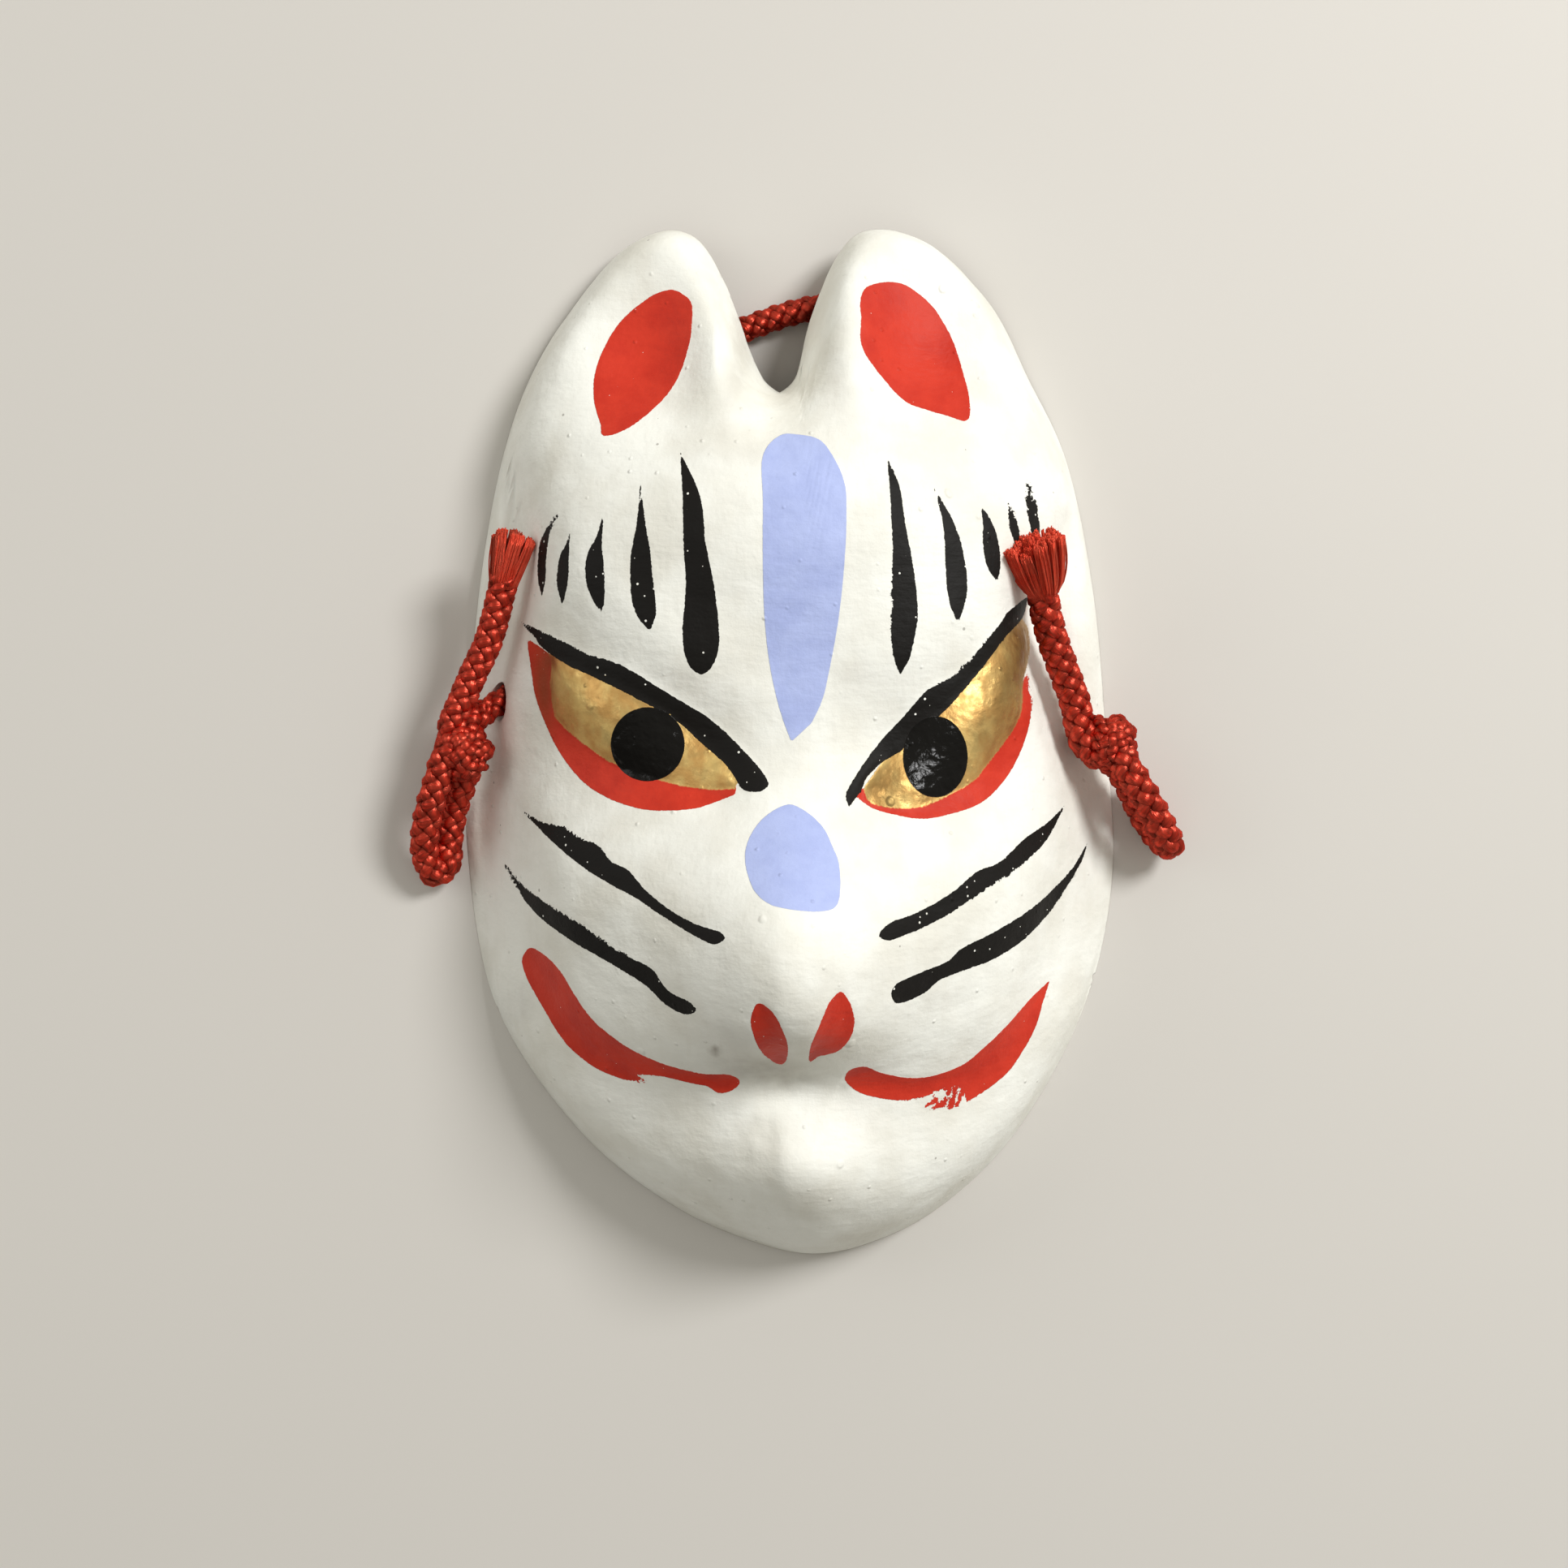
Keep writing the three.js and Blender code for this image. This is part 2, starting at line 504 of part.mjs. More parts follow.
const RIGHT_KNOT = { centre: [46.1, 0.5, 9.9], axis: [-0.5, 0.86, 0] };
const RIGHT_LOOP = [
  [48.6, -4.2, 11.9], [50.8, -7.8, 11.4], [53.5, -12, 8.9], [55.2, -14.7, 5.7], [54.4, -13.8, 2.9],
  [52.4, -10.9, 2.6], [50.3, -7.4, 4.6], [48.6, -4.7, 7.3],
].map(toVector);
const RIGHT_TAIL = [
  [42.4, 5.8, 11], [39.7, 10, 12.1], [37.1, 15, 14.6], [35.5, 19.8, 17.9], [34.8, 22.8, 20.4],
  [34.5, 24.4, 21.7],
].map(toVector);

function cordPiece(name, geometry) {
  const material = new THREE.MeshStandardMaterial({
    name: "Red braided rayon cord", color: 0xb3261c, roughness: 0.6, metalness: 0,
  });
  const mesh = new THREE.Mesh(geometry, material);
  mesh.name = name;
  return mesh;
}

const shell = toSolid(makeShell()).subtract(drill(LEFT_HOLE)).subtract(drill(RIGHT_HOLE));
const shellMesh = new THREE.Mesh(toGeometry(shell), new THREE.MeshStandardMaterial({
  name: "Gofun-white painted papier-mâché", color: 0xf2eee6, roughness: 0.55, metalness: 0,
}));
shellMesh.name = "mask_shell";

const part = new THREE.Group();
part.name = "fox_mask";
part.add(
  shellMesh,
  cordPiece("hanging_cord", makeTube(BEHIND, CORD_RADIUS, CORD_STEPS)),
  cordPiece("left_knot", makeKnot(LEFT_KNOT)),
  cordPiece("left_loop", makeTube(LEFT_LOOP, CORD_RADIUS, LOOP_STEPS)),
  cordPiece("left_tail", makeTail(LEFT_TAIL, LEFT_FRAY_WIDTH)),
  cordPiece("right_knot", makeKnot(RIGHT_KNOT)),
  cordPiece("right_loop", makeTube(RIGHT_LOOP, CORD_RADIUS, LOOP_STEPS)),
  cordPiece("right_tail", makeTail(RIGHT_TAIL, RIGHT_FRAY_WIDTH)),
);

// The origin goes under the middle of the mask's own box.
shellMesh.geometry.computeBoundingBox();
const middle = shellMesh.geometry.boundingBox.getCenter(new THREE.Vector3());
part.position.set(-middle.x, -middle.y, 0);

export default part;
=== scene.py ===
"""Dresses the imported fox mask: gofun and hand painting on papier-mâché, and a braided rayon cord."""

import json
import logging
import math
from dataclasses import dataclass, field
from enum import Enum

import bpy
import numpy as np
from mathutils import Matrix, Vector, noise
from mathutils.bvhtree import BVHTree

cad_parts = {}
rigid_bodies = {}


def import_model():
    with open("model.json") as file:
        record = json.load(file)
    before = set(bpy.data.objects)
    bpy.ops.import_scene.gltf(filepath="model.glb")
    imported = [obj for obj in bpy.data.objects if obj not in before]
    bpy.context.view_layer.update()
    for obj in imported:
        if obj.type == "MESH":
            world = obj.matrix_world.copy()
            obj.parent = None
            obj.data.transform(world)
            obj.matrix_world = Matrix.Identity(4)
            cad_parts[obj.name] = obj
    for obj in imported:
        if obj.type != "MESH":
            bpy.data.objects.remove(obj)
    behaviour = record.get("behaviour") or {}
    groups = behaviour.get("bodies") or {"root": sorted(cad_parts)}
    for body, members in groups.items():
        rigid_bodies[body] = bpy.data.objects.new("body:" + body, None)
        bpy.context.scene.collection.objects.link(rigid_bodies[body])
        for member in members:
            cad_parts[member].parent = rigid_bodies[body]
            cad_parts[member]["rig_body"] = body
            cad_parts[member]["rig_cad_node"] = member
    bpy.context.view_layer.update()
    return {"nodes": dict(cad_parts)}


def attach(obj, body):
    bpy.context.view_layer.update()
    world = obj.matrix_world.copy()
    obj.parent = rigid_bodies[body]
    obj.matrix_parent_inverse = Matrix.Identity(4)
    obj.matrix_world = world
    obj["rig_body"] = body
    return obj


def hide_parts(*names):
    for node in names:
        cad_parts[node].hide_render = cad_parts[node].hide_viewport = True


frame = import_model()
LOG = logging.getLogger("fox_mask")

MM = 0.001
ROOT = "root"

# The photograph's view, straight down: the millimetres to a pixel on the table, the pixel over
# the frame's origin, and the camera's place in millimetres.
PIXEL = 0.12
PIXEL_ZERO = (973.0, 917.0)
EYE = (-0.84, -5.88, 330.0)
# Moves the cord's places, given as in the solid model, onto the mask's own middle.
MIDDLE = np.array((-0.126, 0.0, 0.0))

Point = tuple[float, float]
Place = tuple[float, float, float]
Tree = bpy.types.NodeTree
Socket = bpy.types.NodeSocket


def to_linear(colour: str) -> tuple[float, float, float, float]:
    """Turns a colour into the numbers that the shader takes.

    Args:
        colour: An sRGB hex value such as "#F4F1EA".

    Returns:
        Linear red, green and blue, and an alpha of one.
    """
    parts = [int(colour[i : i + 2], 16) / 255 for i in (1, 3, 5)]
    linear = [c / 12.92 if c <= 0.04045 else ((c + 0.055) / 1.055) ** 2.4 for c in parts]
    return (*linear, 1.0)


def per_mm(size: float) -> float:
    """Gives the texture scale at which one cell of a pattern is size millimetres wide."""
    return 1.0 / (size * MM)


def set_inputs(tree: Tree, node: bpy.types.Node, inputs: dict) -> None:
    """Gives a node's sockets values, or links them to other nodes.

    Args:
        tree: The material's node tree.
        node: The node.
        inputs: Values, or sockets of other nodes, for its own sockets by name or number.
    """
    for key, value in inputs.items():
        if isinstance(value, Socket):
            tree.links.new(value, node.inputs[key])
        else:
            node.inputs[key].default_value = value


def add_node(
    tree: Tree, kind: str, settings: dict | None = None, inputs: dict | None = None
) -> bpy.types.Node:
    """Adds a shader node.

    Args:
        tree: The material's node tree.
        kind: The node's type, without "ShaderNode".
        settings: Values for its properties.
        inputs: Values, or sockets of other nodes, for its own sockets by name or number.

    Returns:
        The new node.
    """
    node = tree.nodes.new("ShaderNode" + kind)
    for key, value in (settings or {}).items():
        setattr(node, key, value)
    set_inputs(tree, node, inputs or {})
    return node


def maths(tree: Tree, operation: str, *values: Socket | float) -> Socket:
    """Adds a Math node for an operation on sockets and numbers, and returns its result."""
    return add_node(tree, "Math", {"operation": operation}, dict(enumerate(values))).outputs[0]


def times(tree: Tree, first: Socket | float, second: Socket | float) -> Socket:
    """Multiplies two values, and returns the product."""
    return maths(tree, "MULTIPLY", first, second)


def outside_of(tree: Tree, mask: Socket) -> Socket:
    """Returns the share that a mask leaves free."""
    return maths(tree, "SUBTRACT", 1.0, mask)


def mix_value(tree: Tree, share: Socket, first: Socket | float, second: Socket | float) -> Socket:
    """Mixes two numbers, and returns the result."""
    return add_node(tree, "Mix", {}, {0: share, 2: first, 3: second}).outputs[0]


def mix_colour(tree: Tree, share: Socket, first: Socket | str, second: Socket | str) -> Socket:
    """Mixes two colours, given as sockets or as sRGB hex values, and returns the result."""
    ends = [to_linear(end) if isinstance(end, str) else end for end in (first, second)]
    return add_node(tree, "Mix", {"data_type": "RGBA"}, {0: share, 6: ends[0], 7: ends[1]}).outputs[2]


def noise_at(tree: Tree, where: Socket, size: float, detail: float = 2.0, rough: float = 0.5) -> Socket:
    """Adds a Noise texture with lumps size millimetres wide, and returns its value."""
    inputs = {"Vector": where, "Scale": per_mm(size), "Detail": detail, "Roughness": rough}
    return add_node(tree, "TexNoise", {}, inputs).outputs["Fac"]


def range_of(
    tree: Tree, value: Socket, low: float, high: float, to_low: float = 0.0, to_high: float = 1.0
) -> Socket:
    """Adds a Map Range node that eases a value from one range to another, and returns its result."""
    inputs = {0: value, 1: low, 2: high, 3: to_low, 4: to_high}
    return add_node(tree, "MapRange", {"interpolation_type": "SMOOTHSTEP"}, inputs).outputs[0]


def stored(tree: Tree, name: str) -> Socket:
    """Returns the value of one of the mesh's attributes."""
    return add_node(tree, "Attribute", {"attribute_name": name}).outputs["Fac"]


def stretch(tree: Tree, where: Socket, turn: float, scale: Place) -> Socket:
    """Turns the space that a pattern lies in, in radians, scales it, and returns it."""
    inputs = {"Vector": where, "Rotation": (0.0, 0.0, turn), "Scale": scale}
    return add_node(tree, "Mapping", {}, inputs).outputs[0]


def cells_at(tree: Tree, where: Socket, size: float, channel: str) -> tuple[Socket, Socket]:
    """Adds cells scattered at random.

    Args:
        tree: The material's node tree.
        where: The space that they lie in.
        size: How wide they are, in millimetres.
        channel: The channel of their random colours that gives their chances.

    Returns:
        The distance to the cell's middle, in cells, and the cell's chance.
    """
    cells = add_node(tree, "TexVoronoi", {}, {"Vector": where, "Scale": per_mm(size)})
    colour = add_node(tree, "SeparateColor", {}, {"Color": cells.outputs["Color"]})
    return cells.outputs["Distance"], colour.outputs[channel]


def dots(tree: Tree, distance: Socket, chance: Socket, least: float, radius: float) -> Socket:
    """Returns 1 in round dots in the cells whose chance is over least, and 0 elsewhere.

    Args:
        tree: The material's node tree.
        distance: The distance to the cell's middle, in cells.
        chance: The cell's chance.
        least: The least chance of a cell that has a dot.
        radius: The radius of the largest dot, in cells.

    Returns:
        The mask.
    """
    return maths(tree, "LESS_THAN", distance, range_of(tree, chance, least, 1.0, 0.0, radius))


def start_material(name: str) -> tuple[bpy.types.Material, Tree, bpy.types.Node]:
    """Makes an empty node material.

    Args:
        name: The material's name.

    Returns:
        The material, its node tree and its Principled shader.
    """
    material = bpy.data.materials.new(name)
    material.use_nodes = True
    tree = material.node_tree
    return material, tree, tree.nodes["Principled BSDF"]



class Paint(Enum):
    """The paints on the mask, each named for the attribute that holds its outline."""

    BLUE = "blue_paint"
    RED = "red_paint"
    GOLD = "gold_paint"
    BLACK = "black_paint"
    PUPIL = "pupil_paint"


class Finish(Enum):
    """The material slots of the record."""

    PAPER = "papier_mache"
    CORD = "braided_cord"


@dataclass(frozen=True)
class Patch:
    """One painted patch, as its edges in pixels of the photograph.

    Each edge is a smooth curve, and edges meet in corners. A single edge that
    doesn't end where it starts is closed smoothly.
    """

    paint: Paint
    edges: tuple[tuple[Point, ...], ...]

    def outline(self) -> np.ndarray:
        """Smooths the patch's edges.

        Returns:
            The outline as a closed line of points, without its first point again.
        """
        if len(self.edges) == 1 and self.edges[0][0] != self.edges[0][-1]:
            return smooth_line(np.array(self.edges[0]), closed=True)
        return np.concatenate([smooth_line(np.array(edge))[:-1] for edge in self.edges])


@dataclass(frozen=True)
class Mark:
    """A small soft-edged mark: its place and reach in pixels of the photograph, and its turn in degrees."""

    at: Point
    reach: Point
    strength: float
    turn: float = 0.0


def smooth_line(points: np.ndarray, closed: bool = False, steps: int = 8) -> np.ndarray:
    """Runs a centripetal Catmull-Rom curve through points.

    Args:
        points: The points, one to a row.
        closed: Whether the curve returns to its first point.
        steps: How many steps there are from one point to the next.

    Returns:
        The curve's points, without the first one again if it is closed.
    """
    points = np.asarray(points, float)
    if closed:
        ends = np.concatenate([points[-1:], points, points[:2]])
    else:
        ends = np.concatenate([2 * points[:1] - points[1:2], points, 2 * points[-1:] - points[-2:-1]])
    line = []
    for a, b, c, d in zip(ends, ends[1:], ends[2:], ends[3:]):
        times = [max(np.linalg.norm(q - p) ** 0.5, 1e-6) for p, q in ((a, b), (b, c), (c, d))]
        start = (b - a) / times[0] - (c - a) / (times[0] + times[1]) + (c - b) / times[1]
        end = (c - b) / times[1] - (d - b) / (times[1] + times[2]) + (d - c) / times[2]
        start, end = start * times[1], end * times[1]
        for i in range(steps):
            t = i / steps
            line.append(
                (2 * t**3 - 3 * t**2 + 1) * b
                + (t**3 - 2 * t**2 + t) * start
                + (3 * t**2 - 2 * t**3) * c
                + (t**3 - t**2) * end
            )
    if not closed:
        line.append(points[-1])
    return np.array(line)


def ring(centre: Point, half: Point, count: int = 24) -> tuple[Point, ...]:
    """Returns points round an ellipse, in pixels of the photograph."""
    turns = [2 * math.pi * i / count for i in range(count)]
    return tuple((centre[0] + half[0] * math.cos(t), centre[1] + half[1] * math.sin(t)) for t in turns)


def depth_inside(points: np.ndarray, outline: np.ndarray) -> np.ndarray:
    """Measures how far inside an outline points lie.

    Args:
        points: The points, one to a row.
        outline: The outline's corners, one to a row.

    Returns:
        The distance to the outline for each point, negative outside it.
    """
    best = np.full(len(points), np.inf)
    inside = np.zeros(len(points), bool)
    x, y = points[:, 0], points[:, 1]
    for (ax, ay), (bx, by) in zip(outline, np.roll(outline, -1, axis=0)):
        dx, dy = bx - ax, by - ay
        share = np.clip(((x - ax) * dx + (y - ay) * dy) / max(dx * dx + dy * dy, 1e-12), 0, 1)
        best = np.minimum(best, (x - ax - share * dx) ** 2 + (y - ay - share * dy) ** 2)
        if ay != by:
            inside ^= ((ay > y) != (by > y)) & (x < dx * (y - ay) / dy + ax)
    return np.where(inside, 1, -1) * np.sqrt(best)


def ease(value: np.ndarray, low: float, high: float) -> np.ndarray:
    """Eases from 0 at low to 1 at high."""
    t = np.clip((value - low) / (high - low), 0, 1)
    return t * t * (3 - 2 * t)


# Ears, forehead and nose
EARS_AND_BLUE = (
    Patch(Paint.RED, ((
        (830, 357), (851, 371), (853, 392), (848, 430), (827, 480), (780, 524), (754, 536), (742, 536),
        (740, 524), (732, 495), (732, 465), (742, 433), (763, 398), (789, 374), (810, 361),
    ),)),
    Patch(Paint.RED, ((
        (1087, 348), (1110, 349), (1131, 361), (1151, 380), (1172, 415), (1186, 456), (1195, 495),
        (1194, 515), (1188, 519), (1172, 514), (1145, 506), (1116, 495), (1087, 465), (1066, 436),
        (1060, 418), (1061, 392), (1060, 371), (1066, 355),
    ),)),
    Patch(Paint.BLUE, (
        (
            (975, 914), (969, 899), (957, 861), (947, 810), (942, 763), (940, 700), (940, 620), (941, 558),
            (962, 536), (981, 535), (1010, 542), (1028, 565), (1041, 597), (1043, 641), (1040, 700),
            (1033, 764), (1024, 815), (1013, 863), (1000, 891),
        ),
        ((1000, 891), (975, 914)),
    )),
    Patch(Paint.BLUE, ((
        (973, 991), (948, 1002), (931, 1019), (920, 1041), (918, 1061), (923, 1083), (931, 1100),
        (948, 1114), (970, 1120), (1013, 1123), (1030, 1117), (1035, 1100), (1033, 1061), (1026, 1044),
        (1016, 1022), (996, 1002),
    ),)),
)
BROWS = (
    Patch(Paint.BLACK, ((
        (838, 556), (841, 612), (842, 671), (845, 720), (841, 776), (843, 803), (851, 823), (864, 831),
        (877, 822), (885, 800), (886, 776), (880, 720), (870, 671), (863, 612), (838, 556),
    ),)),
    Patch(Paint.BLACK, (
        ((789, 588), (785, 641), (777, 685), (777, 718), (779, 742), (787, 762), (801, 778)),
        ((801, 778), (808, 758), (808, 742), (805, 718), (802, 685), (795, 641), (789, 588)),
    )),
    Patch(Paint.BLACK, (
        ((745, 623), (735, 661), (724, 681), (721, 697), (723, 720), (731, 741), (741, 755)),
        ((741, 755), (745, 739), (745, 718), (744, 697), (742, 671), (745, 623)),
    )),
    Patch(Paint.BLACK, (
        ((703, 654), (697, 671), (690, 684), (687, 700), (686, 719), (693, 748)),
        ((693, 748), (699, 722), (701, 700), (701, 684), (703, 654)),
    )),
    Patch(Paint.BLACK, (
        ((689, 631), (680, 641), (668, 661), (663, 684), (663, 716), (668, 736)),
        ((668, 736), (672, 713), (674, 677), (678, 655), (689, 631)),
    )),
    Patch(Paint.BLACK, (
        (
            (1092, 561), (1096, 597), (1098, 641), (1100, 685), (1098, 718), (1099, 746), (1098, 789),
            (1102, 813), (1109, 832),
        ),
        (
            (1109, 832), (1120, 813), (1127, 786), (1131, 757), (1129, 725), (1123, 685), (1115, 641),
            (1108, 597), (1092, 561),
        ),
    )),
    Patch(Paint.BLACK, (
        ((1150, 599), (1161, 641), (1164, 671), (1166, 718), (1171, 747), (1181, 768)),
        ((1181, 768), (1190, 740), (1192, 718), (1185, 671), (1174, 641), (1150, 599)),
    )),
    Patch(Paint.BLACK, (
        ((1207, 621), (1211, 641), (1211, 671), (1217, 700), (1229, 718)),
        ((1229, 718), (1233, 695), (1229, 662), (1221, 641), (1207, 621)),
    )),
    Patch(Paint.BLACK, (
        ((1243, 617), (1242, 641), (1249, 668), (1255, 700)),
        ((1255, 700), (1257, 665), (1253, 641), (1243, 617)),
    )),
    Patch(Paint.BLACK, (
        ((1266, 592), (1265, 621), (1269, 649), (1274, 668), (1280, 690)),
        ((1280, 690), (1282, 669), (1281, 649), (1277, 621), (1271, 600), (1266, 592)),
    )),
)
LIDS = (
    Patch(Paint.BLACK, (
        (
            (639, 764), (647, 768), (681, 784), (724, 805), (763, 818), (802, 841), (838, 863), (874, 885),
            (906, 914), (933, 943), (943, 956), (947, 967), (941, 974), (925, 976), (914, 972),
            (908, 962), (894, 943), (862, 914), (838, 892), (807, 873), (765, 851), (724, 831), (698, 819),
            (668, 798), (657, 784), (639, 764),
        ),
    )),
    Patch(Paint.BLACK, (
        (
            (1046, 995), (1042, 981), (1055, 955), (1084, 914), (1112, 884), (1143, 850), (1173, 833),
            (1204, 802), (1230, 771), (1240, 756), (1268, 733),
        ),
        (
            (1268, 733), (1260, 761), (1240, 784), (1219, 812), (1194, 843), (1161, 879), (1112, 924),
            (1084, 942), (1065, 963), (1062, 975), (1055, 983), (1046, 995),
        ),
    )),
)
EYES = (
    Patch(Paint.RED, (
        (
            (649, 787), (654, 824), (659, 856), (671, 890), (690, 928), (717, 962), (746, 982), (790, 997),
            (824, 999), (862, 995), (906, 979),
        ),
        ((906, 979), (906, 966), (860, 930), (800, 885), (740, 845), (690, 815), (660, 793), (649, 787)),
    )),
    Patch(Paint.GOLD, (
        ((671, 800), (679, 813), (678, 840), (680, 866), (684, 885)),
        ((684, 885), (700, 901), (729, 924), (756, 941), (814, 962), (838, 968), (874, 973), (905, 972)),
        ((905, 972), (909, 962), (900, 940), (862, 905), (810, 865), (765, 842), (724, 822), (671, 800)),
    )),
    Patch(Paint.RED, (
        (
            (1053, 981), (1076, 996), (1107, 1005), (1138, 1009), (1179, 1001), (1209, 989), (1235, 965),
            (1255, 932), (1268, 894), (1272, 866), (1269, 845), (1265, 829),
        ),
        (
            (1265, 829), (1250, 860), (1220, 910), (1180, 955), (1130, 975), (1090, 975), (1060, 972),
            (1053, 981),
        ),
    )),
    Patch(Paint.GOLD, (
        (
            (1063, 972), (1071, 988), (1102, 996), (1133, 995), (1163, 983), (1199, 963), (1222, 935),
            (1242, 909), (1258, 879), (1261, 838), (1265, 822), (1269, 797), (1267, 774),
        ),
        (
            (1267, 774), (1258, 762), (1232, 790), (1206, 820), (1180, 850), (1140, 890), (1100, 922),
            (1063, 972),
        ),
    )),
    Patch(Paint.PUPIL, (ring((798, 917), (45.6, 45.6)),)),
    Patch(Paint.PUPIL, (ring((1152.5, 932.5), (40, 50)),)),
)
WHISKERS = (
    Patch(Paint.BLACK, ((
        (643, 999), (667, 1012), (693, 1019), (718, 1033), (740, 1044), (753, 1061), (774, 1072),
        (794, 1095), (824, 1120), (861, 1140), (888, 1149), (893, 1156), (881, 1164), (861, 1156),
        (824, 1134), (782, 1106), (740, 1083), (712, 1064), (679, 1036), (659, 1016), (643, 999),
    ),)),
    Patch(Paint.BLACK, ((
        (618, 1060), (628, 1070), (635, 1080), (645, 1091), (660, 1103), (690, 1123), (718, 1140),
        (765, 1173), (802, 1193), (824, 1221), (852, 1236), (858, 1245), (847, 1250), (824, 1241),
        (796, 1215), (757, 1190),
        (707, 1161), (667, 1132), (645, 1108), (637, 1094), (630, 1082), (625, 1073), (618, 1060),
    ),)),
    Patch(Paint.BLACK, ((
        (1312, 992), (1291, 1013), (1263, 1033), (1229, 1064), (1207, 1072), (1168, 1103), (1128, 1125),
        (1095, 1138), (1082, 1153), (1095, 1159), (1111, 1154), (1156, 1134), (1190, 1113), (1221, 1092),
        (1255, 1069), (1285, 1041), (1299, 1019), (1312, 992),
    ),)),
    Patch(Paint.BLACK, ((
        (1340, 1038), (1323, 1067), (1297, 1096), (1266, 1123), (1218, 1152), (1184, 1169), (1168, 1184),
        (1140, 1196), (1104, 1213), (1098, 1224), (1104, 1236), (1140, 1223), (1156, 1209), (1198, 1192),
        (1224, 1182), (1260, 1159), (1291, 1127), (1316, 1091), (1335, 1056), (1340, 1038),
    ),)),
)
MOUTH = (
    Patch(Paint.RED, (
        (
            (797, 1334), (768, 1330), (729, 1313), (695, 1283), (667, 1238), (650, 1207), (643, 1182),
            (653, 1168), (670, 1176), (690, 1196), (707, 1224), (729, 1255), (765, 1285), (796, 1302),
            (824, 1313), (867, 1323), (902, 1325), (912, 1333), (903, 1343), (886, 1347), (872, 1339),
            (852, 1335), (813, 1326), (786, 1324),
        ),
        ((786, 1324), (797, 1334)),
    )),
    Patch(Paint.RED, (
        (
            (1294, 1207), (1271, 1229), (1241, 1263), (1212, 1291), (1184, 1313), (1134, 1328), (1086, 1322),
            (1065, 1314), (1045, 1320), (1041, 1330), (1055, 1344), (1083, 1353), (1118, 1356), (1143, 1350),
            (1166, 1341), (1181, 1337),
        ),
        ((1181, 1337), (1186, 1346), (1191, 1358)),
        ((1191, 1358), (1208, 1348), (1241, 1322), (1263, 1291), (1277, 1263), (1285, 1235), (1294, 1207)),
    )),
)
# Slivers that the drying brush left at the right corner of the mouth
DRY_SLIVERS = tuple(
    Patch(Paint.RED, (outline,))
    for outline in (
        ((1139, 1361), (1148, 1355), (1157, 1350), (1158, 1355), (1149, 1361), (1140, 1365)),
        ((1145, 1368), (1154, 1361), (1164, 1356), (1163, 1362), (1154, 1367)),
        ((1157, 1362), (1163, 1351), (1168, 1338), (1173, 1338), (1169, 1353), (1163, 1364)),
        ((1167, 1366), (1172, 1352), (1176, 1337), (1181, 1337), (1178, 1355), (1173, 1367)),
        ((1176, 1363), (1181, 1350), (1184, 1340), (1188, 1343), (1185, 1356), (1181, 1364)),
    )
)
NOSTRILS = (
    Patch(Paint.RED, ((
        (934, 1236), (951, 1246), (965, 1271), (971, 1291), (968, 1308), (962, 1312), (939, 1297),
        (927, 1271), (925, 1255),
    ),)),
    Patch(Paint.RED, (
        (
            (996, 1311), (998, 1292), (1010, 1263), (1024, 1232), (1036, 1222), (1047, 1235), (1053, 1260),
            (1047, 1280), (1033, 1295), (1008, 1302),
        ),
        ((1008, 1302), (996, 1311)),
    )),
)
PATCHES = EARS_AND_BLUE + BROWS + LIDS + EYES + WHISKERS + MOUTH + DRY_SLIVERS + NOSTRILS

# Places where the brush ran dry and left ragged paint
DRY_SPOTS = (
    Mark((1160, 1352), (34, 12), 0.7, 8.0),
    Mark((1270, 610), (10, 22), 0.8),
    Mark((1247, 628), (8, 14), 0.8),
    Mark((632, 1082), (14, 20), 0.35),
    Mark((700, 797), (60, 9), 0.3, -22.0),
    Mark((684, 643), (8, 10), 0.8),
    Mark((1097, 735), (5, 50), 0.45),
    Mark((1190, 812), (45, 10), 0.45, 40.0),
    Mark((700, 1022), (50, 9), 0.45, -25.0),
    Mark((720, 1140), (70, 10), 0.45, -35.0),
    Mark((1230, 1088), (40, 8), 0.4, 35.0),
    Mark((1268, 850), (5, 20), 0.7),
    Mark((790, 1330), (12, 8), 0.6),
)
# Painted shade under and beside the snout, on the inner walls of the ears, along the notch between them, in
# other hollows and at the jaw's left edge, mixed with grey grime under the nose and a small handling smudge
# beside the nostril
SHADE_AND_GRIME = (
    Mark((940, 1322), (70, 18), 0.5, -8.0),
    Mark((881, 1295), (5, 4.5), 0.9),
    Mark((890, 1270), (45, 22), 0.25, -25.0),
    Mark((905, 470), (16, 75), 0.22, -12.0),
    Mark((1035, 480), (18, 60), 0.2, 12.0),
    Mark((965, 560), (90, 16), 0.16),
    Mark((1050, 830), (30, 20), 0.14),
    Mark((1145, 1235), (60, 16), 0.16, 20.0),
    Mark((640, 1235), (18, 26), 0.22),
)
# Painted reflection of red on the outer ends of the gold, where the gold also blends into the red paint
# under it
RED_REFLECTION_AND_BLEND = (
    Mark((670, 848), (14, 50), 1.0, 4.0),
    Mark((682, 812), (12, 12), 0.7),
    Mark((1262, 800), (7, 30), 0.35, -8.0),
)
# Painted shade on the gold, dull dark olive where it turns away from the light
GOLD_SHADE = (
    Mark((1096, 976), (44, 26), 0.8),
    Mark((1238, 838), (30, 66), 0.85, -18.0),
    Mark((1262, 790), (12, 30), 0.3),
    Mark((700, 850), (18, 40), 0.25),
)
